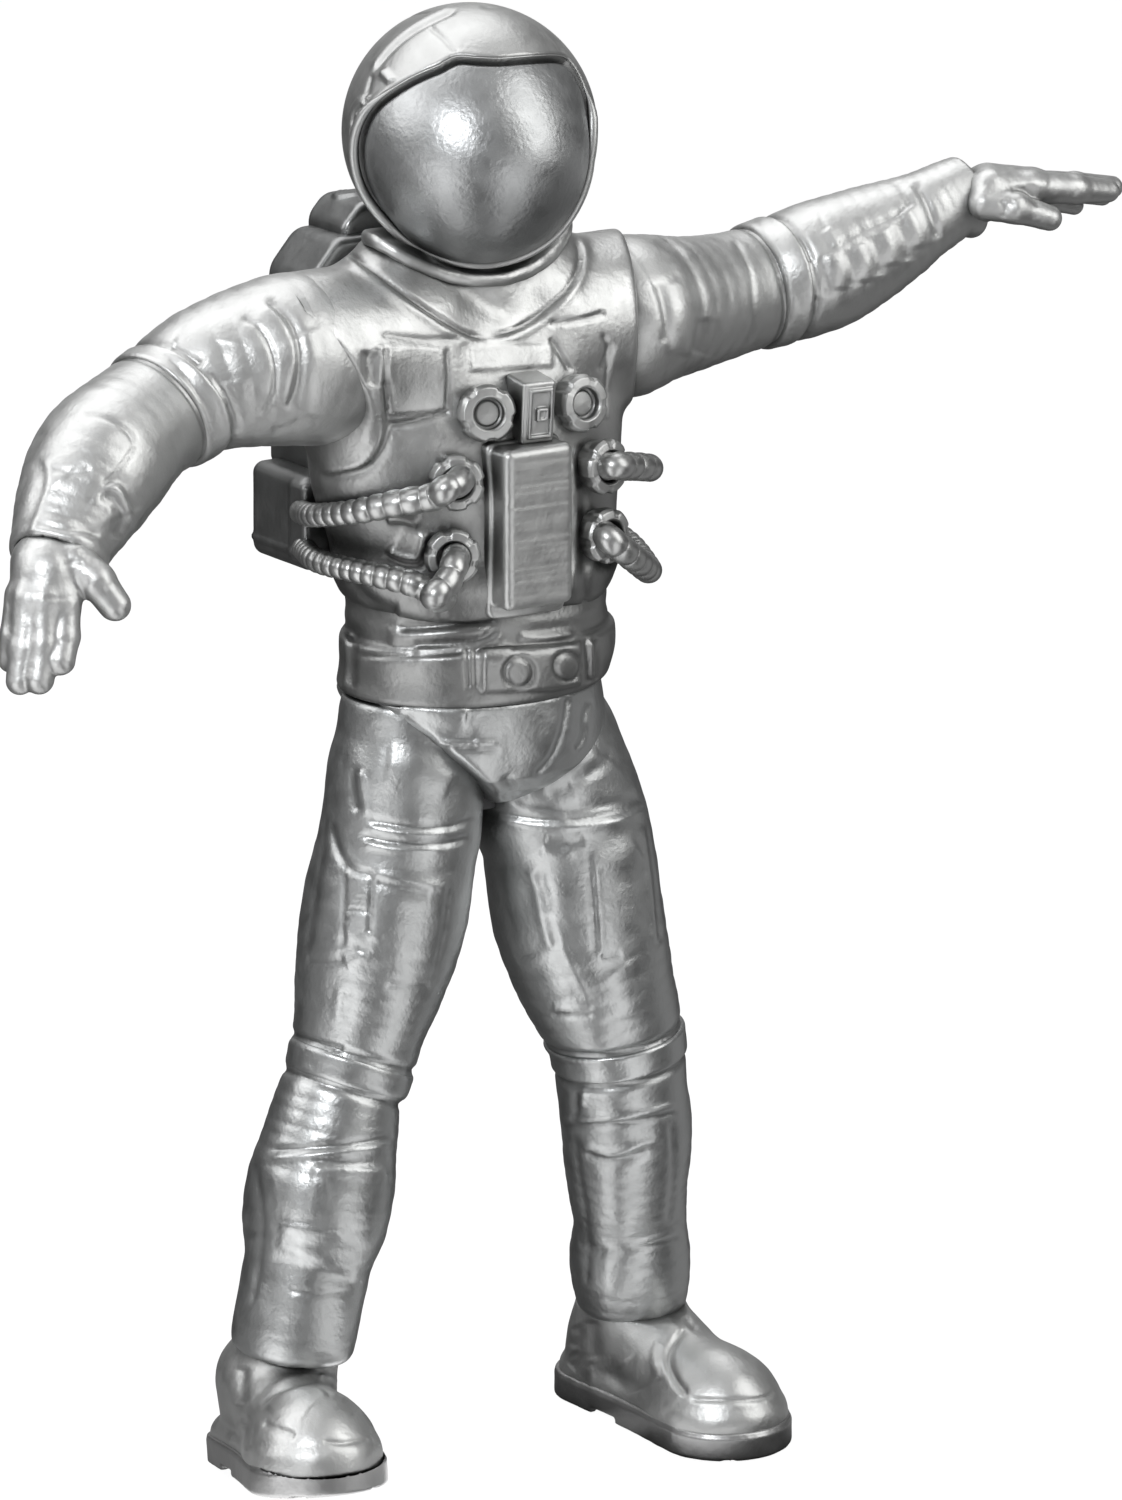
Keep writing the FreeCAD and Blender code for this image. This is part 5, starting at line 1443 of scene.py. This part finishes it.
# ------------------------------------------------------------------ chest panel
panel_box = box((-.55, -12.9, 116.9), (4.75, 3.1, 9.6), 1.0)
panel_base = box((-.6, -10.6, 116.4), (5.15, 3.6, 10.5), 1.0)
brush_wave = waves(71, 1.3, 20, stretch=(.05, .3, 1.4))


def panel_field(points):
    base = smooth_max(panel_base(points), torso(points, 1.0), .5)
    return smooth_min(panel_box(points), base, .35)


def brushed_front(points, normals):
    return .028 * brush_wave(points) * ease(-normals[:, 1], .6, .95)


ride(build("chest_unit", panel_field, (-8.5, -17, 102.5), (9.0, -4, 129), 0.24, "silver_hard",
           brushed_front), "torso", "chest_panel")

# ------------------------------------------------------------------ chest valve
VALVE_CENTRE = vec(.6, -12.2, 130.3)
VALVE_X, VALVE_Y = unit((1, -.10, 0)), unit((.10, 1, .10))
VALVE_AXES = np.stack([VALVE_X, VALVE_Y, unit(np.cross(VALVE_X, VALVE_Y))])
valve_body = box((0, .3, 0), (2.15, 2.3, 3.75), .4)
valve_key = box((.25, -2.2, -.1), (.75, .45, .8), .18)
valve_recess = box((.25, -2.75, -.1), (.42, .35, .45), .08)


def valve_field(points):
    local = (points - VALVE_CENTRE) @ VALVE_AXES.T
    x, y, z = np.abs(local[:, 0] - .1), local[:, 1], np.abs(local[:, 2])
    # raised inner frame and a small key with a recess
    rim = smooth_max(np.maximum(x - 1.55, z - 3.0), -np.maximum(x - 1.2, z - 2.6), .1)
    rim = smooth_max(rim, np.abs(y + 2.15) - .25, .08)
    value = smooth_min(valve_body(local), rim, .15)
    value = smooth_min(value, valve_key(local), .1)
    return smooth_max(value, -valve_recess(local), .1)


ride(build("chest_valve_block", valve_field, (-4.6, -16.6, 125.4), (4.2, -8.6, 135.4), 0.17,
           "silver_hard", uneven(72, 2.0, .02)), "torso", "chest_valve")


# ------------------------------------------------------------------ dials and hose sockets
def turned_profile(stations, notch_radius):
    """Rows of radius, height and 1 where notched, with softened corners"""
    stations = np.asarray(stations, float)
    parts = np.array((0.0, .06, .5, .94))[None, :, None]
    start = stations[:-1, None]
    dense = (start + (stations[1:, None] - start) * parts).reshape(-1, 2)
    dense = np.vstack([dense, stations[-1]])
    soft = dense.copy()
    soft[1:-1] = .25 * dense[:-2] + .5 * dense[1:-1] + .25 * dense[2:]
    return np.column_stack([soft, (soft[:, 0] > notch_radius) & (soft[:, 1] > -.9)])


def lathe(profile, axis, centre, notches, notch_width, notch_depth, phase, segments=120):
    """Turned part with notches round its edge, closed at the top"""
    axis = unit(axis)
    side = unit(np.cross(vec(0, 0, 1), axis))
    other = np.cross(axis, side)
    angle = np.linspace(0, 2 * math.pi, segments, endpoint=False)
    x = ((angle + phase) * notches / (2 * math.pi)) % 1.0
    x = np.minimum(x, 1 - x) * 2 * math.pi / notches
    cut = notch_depth * (1 - ease(x, notch_width * .55, notch_width))
    radius, height, notched = profile.T[:, :, None]
    radius = (radius - cut * notched)[..., None]
    ring = np.cos(angle)[:, None] * side + np.sin(angle)[:, None] * other
    points = (centre + axis * height[..., None] + ring * radius).reshape(-1, 3)
    points = np.vstack([points, centre + axis * profile[-1, 1]])
    faces = np.vstack([grid_faces(len(profile), segments, closed=False),
                       fan((len(profile) - 1) * segments, segments, len(points) - 1)])
    return points, faces


# radius, height
DIAL = turned_profile([
    (3.05, -2.4), (3.42, -.2), (3.42, .75), (3.05, 1.25), (2.05, 1.35), (1.85, 1.15),
    (1.85, .35), (1.6, .15), (1.35, .42), (0.02, .5)], notch_radius=2.5)
SOCKET = turned_profile([
    (2.75, -2.6), (3.3, -.2), (3.3, .7), (2.95, 1.15), (2.1, 1.3), (1.85, 1.1), (1.8, -.5),
    (.02, -.6)], notch_radius=2.4)
for s, place, axis, phase in (("r", (-5.27, -11.6, 130.35), (-.27, -.95, .12), .25),
                              ("l", (8.17, -11.2, 129.79), (.05, -.99, .12), .1)):
    part = lathe(DIAL, axis, vec(*place) + unit(axis) * .1, notches=5, notch_width=.22,
                 notch_depth=.26, phase=phase)
    ride(make("dial_knob_" + s, *part, "silver_hard"), "torso", "dial_" + s)

RIGHT_SOCKET_AXIS, LEFT_SOCKET_AXIS = (-.42, -.90, .05), (.15, -.98, .05)
socket_points, socket_faces = [], []
for i, (place, axis) in enumerate((
        ((-9.33, -11.4, 122.63), RIGHT_SOCKET_AXIS), ((-10.05, -11.6, 113.95), RIGHT_SOCKET_AXIS),
        ((10.89, -12, 122.04), LEFT_SOCKET_AXIS), ((10.91, -12.2, 113.76), LEFT_SOCKET_AXIS))):
    points, faces = lathe(SOCKET, axis, vec(*place) + unit(axis) * .2, notches=6,
                          notch_width=.20, notch_depth=.30, phase=.3 * i)
    socket_points.append(points)
    socket_faces.append(faces + i * len(points))
ride(make("hose_sockets", np.vstack(socket_points), np.vstack(socket_faces), "silver_hard"),
     "torso", "hose_fittings")

# ------------------------------------------------------------------ corrugated hoses
# Radius and corrugation pitch at the pack end and at the socket end.
HOSE_RADII = (1.35, 1.595)
HOSE_PITCHES = (1.4175, 2.3625)
# x, y, z from the pack to the socket
HOSES = {
    "upper_r": [(-18.2, 8.4, 116.4), (-21, 1, 117.8), (-19.8, -5.6, 119.3), (-16.7, -10, 120.8),
                (-13.6, -13.2, 121.8), (-13.2, -15.2, 123.05), (-11.01, -14.6, 123.47),
                (-9.16, -12.2, 123.24)],
    "lower_r": [(-17.9, 8.4, 112), (-20.4, 1, 112.2), (-18.9, -6, 112.1), (-15.3, -11, 111.3),
                (-12.7, -13.4, 109.8), (-15.69, -16.4, 110.93), (-13.5, -16, 112.33),
                (-11.73, -14.8, 113.99), (-9.76, -12, 114.11)],
    "upper_l": [(17.4, 8.2, 116.4), (21.2, 4.0, 117.2), (21.6, -2.0, 118.4),
                (18.62, -10.5, 120.51), (14.19, -13.2, 121.84), (10.81, -14.6, 122.55),
                (10.62, -12.6, 122.19)],
    "lower_l": [(17.2, 8.2, 111.6), (21.2, 4.0, 110.4), (21.6, -2.2, 109.2), (19.55, -9, 107.7),
                (14.65, -13.4, 110.47), (10.85, -15.2, 113.04), (9.55, -14.6, 114.3),
                (10.63, -12.4, 113.96)],
}


def hose(path, segments=28, spacing=0.10):
    curve = spline(path, 40)
    travelled = np.concatenate([[0], np.cumsum(lengths(np.diff(curve, axis=0)))])
    length = travelled[-1]
    rings = int(length / spacing)
    travel = np.linspace(0, length, rings)
    centre = np.stack([np.interp(travel, travelled, curve[:, i]) for i in range(3)], 1)
    tangent = unit(np.gradient(centre, axis=0))
    side = unit(np.cross(vec(0, 0, 1), tangent))
    other = np.cross(tangent, side)
    grown = ease(travel / length, .35, .75)
    pitch = HOSE_PITCHES[0] + (HOSE_PITCHES[1] - HOSE_PITCHES[0]) * grown
    phase = np.cumsum(1.0 / pitch) * (travel[1] - travel[0])
    swell = np.abs(np.sin(math.pi * (phase % 1.0))) ** .62
    radius = HOSE_RADII[0] + (HOSE_RADII[1] - HOSE_RADII[0]) * grown
    radius = radius * np.where(grown > .5, .93 + .13 * swell, .90 + .18 * swell)
    a = np.linspace(0, 2 * math.pi, segments, endpoint=False)[:, None]
    ring = np.cos(a) * side[:, None] + np.sin(a) * other[:, None]
    points = (centre[:, None] + ring * radius[:, None, None]).reshape(-1, 3)
    points = np.vstack([points, centre[:1], centre[-1:]])
    faces = np.vstack([
        grid_faces(rings, segments, closed=False),
        fan(0, segments, len(points) - 2, flip=True),
        fan((rings - 1) * segments, segments, len(points) - 1)])
    return points, faces


for name, path in HOSES.items():
    ride(make("bellows_" + name, *hose(path), "silver_hose"), "torso", "hose_" + name)

# ------------------------------------------------------------------ backpack, lower box
lower_box = box((0, 13.2, 114.9), (18.5, 6.3, 5.7), 1.5)
end_covers = [box((sign * 16.9, 8.4, 114.9), (1.9, 1.9, 5.0), .7) for sign in (-1, 1)]


def lower_field(points):
    value = smooth_max(lower_box(points), -torso(points, -1.0), .3)
    # a cover at the front of each end
    for cover in end_covers:
        value = smooth_min(value, cover(points), .4)
    return value


def lower_relief(points, normals):
    side = ease(np.abs(normals[:, 0]) + np.abs(normals[:, 1]), .7, 1.0)
    return (.28 * bell(points[:, 2], 111.4, .38) * side
            - .20 * bell(np.abs(points[:, 0]), 14.7, .30))


ride(build("pack_lower_box", lower_field, (-20, 5.5, 107.5), (20, 21, 122), 0.30,
           "silver_hard", total(lower_relief, uneven(81, 8.0, .06))), "torso", "backpack_lower")

# ------------------------------------------------------------------ backpack, main case
main_box = box((0, 16.5, 133.4), (14.6, 5.0, 14.2), 1.2)
main_slopes = [half_space((sign * 14.6, 0, 143.0), (sign * .75, 0, .66)) for sign in (-1, 1)]


def main_field(points):
    value = main_box(points)
    for slope in main_slopes:
        value = smooth_max(value, slope(points), .8)
    value = smooth_max(value, -torso(points, -1.2), .3)
    clearance = ball(HELMET_CENTRE, HELMET_RADIUS + PACK_HELMET_GAP)(points)
    return smooth_max(value, -clearance, .5)


def main_relief(points, normals):
    x, z = points[:, 0], points[:, 2]
    back = ease(normals[:, 1], .5, .9)
    # a framed, divided rectangle with two discs on the back
    edge = np.maximum(np.abs(x) - 10.5, np.abs(z - 131.5) - 8.5)
    value = -.35 * bell(edge, 0, .35) * back
    value -= .30 * bell(z, 127.2, .3) * back * (edge < 0)
    for disc_x in (-5.6, 5.6):
        out = np.sqrt((x - disc_x) ** 2 + (z - 134.5) ** 2)
        value += back * (.35 * (1 - ease(out, 2.2, 2.5)) - .3 * bell(out, 1.4, .22))
    # two grooves across each side
    side = ease(np.abs(normals[:, 0]), .6, .9)
    for groove_z in (139.0, 126.0):
        value -= .25 * bell(z, groove_z, .35) * side
    return value


ride(build("pack_main_case", main_field, (-20, 9.0, 118), (20, 22.8, 149.5), 0.34,
           "silver_hard", total(main_relief, uneven(82, 8.0, .05))), "torso", "backpack_main")

# ------------------------------------------------------------------ backpack, top case
top_box = box((0, 17.5, 148.0), (8.8, 4.3, 3.2), 1.0)
top_slopes = [half_space((sign * 8.8, 0, 148.6), (sign * .72, 0, .70)) for sign in (-1, 1)]


def top_field(points):
    value = top_box(points)
    for slope in top_slopes:
        value = smooth_max(value, slope(points), .7)
    clearance = ball(HELMET_CENTRE, HELMET_RADIUS + PACK_HELMET_GAP)(points)
    return smooth_max(value, -clearance, .5)


def top_discs(points, normals):
    out = np.sqrt((np.abs(points[:, 0]) - 5.0) ** 2 + (points[:, 1] - 18.6) ** 2)
    return ease(normals[:, 2], .6, .9) * .3 * (1 - ease(out, 1.4, 1.7))


ride(build("pack_top_case", top_field, (-11, 11.5, 143.5), (11, 23, 153), 0.30, "silver_hard",
           total(top_discs, uneven(83, 7.0, .05))), "torso", "backpack_top")

# ------------------------------------------------------------------ special paints
pack_paint = silver("silver_pack", (0.34, 0.345, 0.345), rough=0.36, peel=0.45, painted_recess_shade=False,
                    ripple=0.08)
# painted shade: the legs take a darker copy of the suit paint, with deeper painted shade in
# recesses
leg_paint_shaded = silver("silver_leg", (0.60, 0.61, 0.61), rough=0.37, peel=0.8, ripple=0.10, dark=.5)
# painted shade: the jacket paint darkens towards the hem and on down-turned faces, with deeper
# painted shade in recesses
body_paint = silver("silver_jacket", (0.68, 0.685, 0.68), rough=0.40, peel=0.8, dark=.5,
                    low=.6, fade=(.106, .132, .62))
for paint, names in (
        (pack_paint, ("pack_lower_box", "pack_main_case", "pack_top_case")),
        (leg_paint_shaded, ("trouser_hips", "leg_r", "leg_l", "knee_band_ring_r", "knee_band_ring_l")),
        (body_paint, ("suit_jacket", "waistband", "collar_band"))):
    for name in names:
        PIECES[name].data.materials[0] = paint

# ------------------------------------------------------------------ floor
# Bright patches seen in reflections: direction along view right and towards the camera,
# cosines where the patch starts and is full, brightness.
FLOOR_PATCHES = [(-.60, .80, .90, .992, 1.5), (.57, .82, .90, .992, 1.1),
                 (-.97, .1, .86, .99, .15), (.9, -.43, .86, .99, .22)]


def floor_material():
    """White to the camera, dark with bright patches to reflections"""
    material = bpy.data.materials.new("studio_floor")
    tree = empty_tree(material)
    place = add_node(tree, "NewGeometry").outputs["Position"]
    outward = add_node(tree, "VectorMath", {0: place}, operation="NORMALIZE").outputs["Vector"]
    level = unit((TO_CAMERA[0], TO_CAMERA[1], 0))
    light = .05
    for right, near, start, full, brightness in FLOOR_PATCHES:
        direction = tuple(unit(right * VIEW_RIGHT + near * level))
        cosine = add_node(tree, "VectorMath", {0: outward, 1: direction},
                          operation="DOT_PRODUCT").outputs["Value"]
        patch = map_range(tree, cosine, (start, full), (0.0, brightness), "SMOOTHSTEP")
        light = add_node(tree, "Math", {0: patch, 1: light}, operation="ADD").outputs[0]
    reflected = add_node(tree, "Emission", {"Color": light, "Strength": 1.0})
    white = add_node(tree, "Emission", {"Color": (1, 1, 1, 1), "Strength": .97})
    diffuse = add_node(tree, "BsdfDiffuse", {"Color": (.12, .12, .12, 1)})
    seen = add_node(tree, "AddShader", {0: white.outputs[0], 1: diffuse.outputs[0]})
    camera_ray = add_node(tree, "LightPath").outputs["Is Camera Ray"]
    mix = add_node(tree, "MixShader", {"Fac": camera_ray, 1: reflected.outputs[0],
                                       2: seen.outputs[0]})
    add_node(tree, "OutputMaterial", {"Surface": mix.outputs[0]})
    return material


def stage_floor(half=3.0, drop=0.0002):
    """Square floor, in metres, just below z = 0"""
    mesh = bpy.data.meshes.new("floor")
    corners = [(-half, -half, 0), (half, -half, 0), (half, half, 0), (-half, half, 0)]
    mesh.from_pydata(corners, [], [(0, 1, 2, 3)])
    floor = bpy.data.objects.new("studio_floor", mesh)
    bpy.context.scene.collection.objects.link(floor)
    mesh.materials.append(floor_material())
    floor.location = (0, 0, -drop)
    floor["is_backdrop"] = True


stage_floor()


# ------------------------------------------------------------------ world
def studio_world():
    """White to the camera; otherwise brighter ahead of the camera and overhead"""
    world = bpy.data.worlds.new("studio")
    bpy.context.scene.world = world
    tree = empty_tree(world)
    around = add_node(tree, "TexCoord").outputs["Generated"]

    def glow(direction, stops):
        cosine = add_node(tree, "VectorMath", {0: around, 1: tuple(direction)},
                          operation="DOT_PRODUCT").outputs["Value"]
        return grey_ramp(tree, map_range(tree, cosine, (-1, 1), (0, 1)), stops)

    ahead = glow(AHEAD, [(0.0, .12), (.5, .06), (.86, .08), (.965, .7), (1.0, 1.5)])
    overhead = glow((0, 0, 1), [(0.0, .02), (.5, .06), (.72, .30), (1.0, .62)])
    both = add_node(tree, "MixRGB", {"Fac": 1, "Color1": ahead, "Color2": overhead},
                    blend_type="ADD").outputs["Color"]
    lit = add_node(tree, "Background", {"Color": both, "Strength": 0.42})
    white = add_node(tree, "Background", {"Color": (1, 1, 1, 1), "Strength": 1.05})
    camera_ray = add_node(tree, "LightPath").outputs["Is Camera Ray"]
    mix = add_node(tree, "MixShader", {"Fac": camera_ray, 1: lit.outputs[0],
                                       2: white.outputs[0]})
    add_node(tree, "OutputWorld", {"Surface": mix.outputs[0]})


studio_world()


# ------------------------------------------------------------------ lights
def softbox(name, direction, distance, size, power, target, colour=(1, 1, 1), size_y=None):
    """Area light; the direction is in view right, view up and towards the camera.

    Distance and sizes are in metres, the target in millimetres.
    """
    right, up, near = direction
    out = unit(right * VIEW_RIGHT + up * VIEW_UP + near * TO_CAMERA)
    lamp = bpy.data.lights.new(name, "AREA")
    lamp.shape = "RECTANGLE" if size_y else "DISK"
    lamp.size = size
    if size_y:
        lamp.size_y = size_y
    lamp.energy = power
    lamp.color = colour
    light = bpy.data.objects.new(name, lamp)
    light.location = Vector((vec(*target) + OFFSET) * MM + out * distance)
    light.rotation_euler = Vector(out).to_track_quat("Z", "Y").to_euler()
    bpy.context.scene.collection.objects.link(light)


softbox("key", (-.34, .24, .91), distance=.75, size=.15, power=1.7, target=(0, 0, 130),
        colour=(.97, .985, 1.0))
softbox("fill", (.78, .42, .46), distance=.70, size=.40, size_y=.75, power=1.9,
        target=(0, 0, 120), colour=(1.0, 1.0, .985))
softbox("top", (-.25, .95, -.05), distance=.62, size=.95, size_y=.55, power=2.5,
        target=(0, 0, 140))
softbox("left", (-.85, .42, .32), distance=.75, size=.45, size_y=.40, power=1.1,
        target=(-20, 0, 130))

# ------------------------------------------------------------------ camera and render
lens = bpy.data.cameras.new("view")
lens.lens = 197.53
lens.sensor_width = 36.0
lens.sensor_fit = "AUTO"
lens.clip_start = .05
lens.clip_end = 20
camera = bpy.data.objects.new("view", lens)
bpy.context.scene.collection.objects.link(camera)
camera.location = Vector((EYE + OFFSET) * MM)
camera.rotation_euler = Vector(TO_CAMERA).to_track_quat("Z", "Y").to_euler()
scene = bpy.context.scene
scene.camera = camera
scene.view_settings.view_transform = "Standard"
scene.view_settings.look = "None"
scene.view_settings.exposure = 0.0

low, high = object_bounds()
{"cad": [list(CAD_LOW), list(CAD_HIGH)], "visual": [list(low), list(high)]}
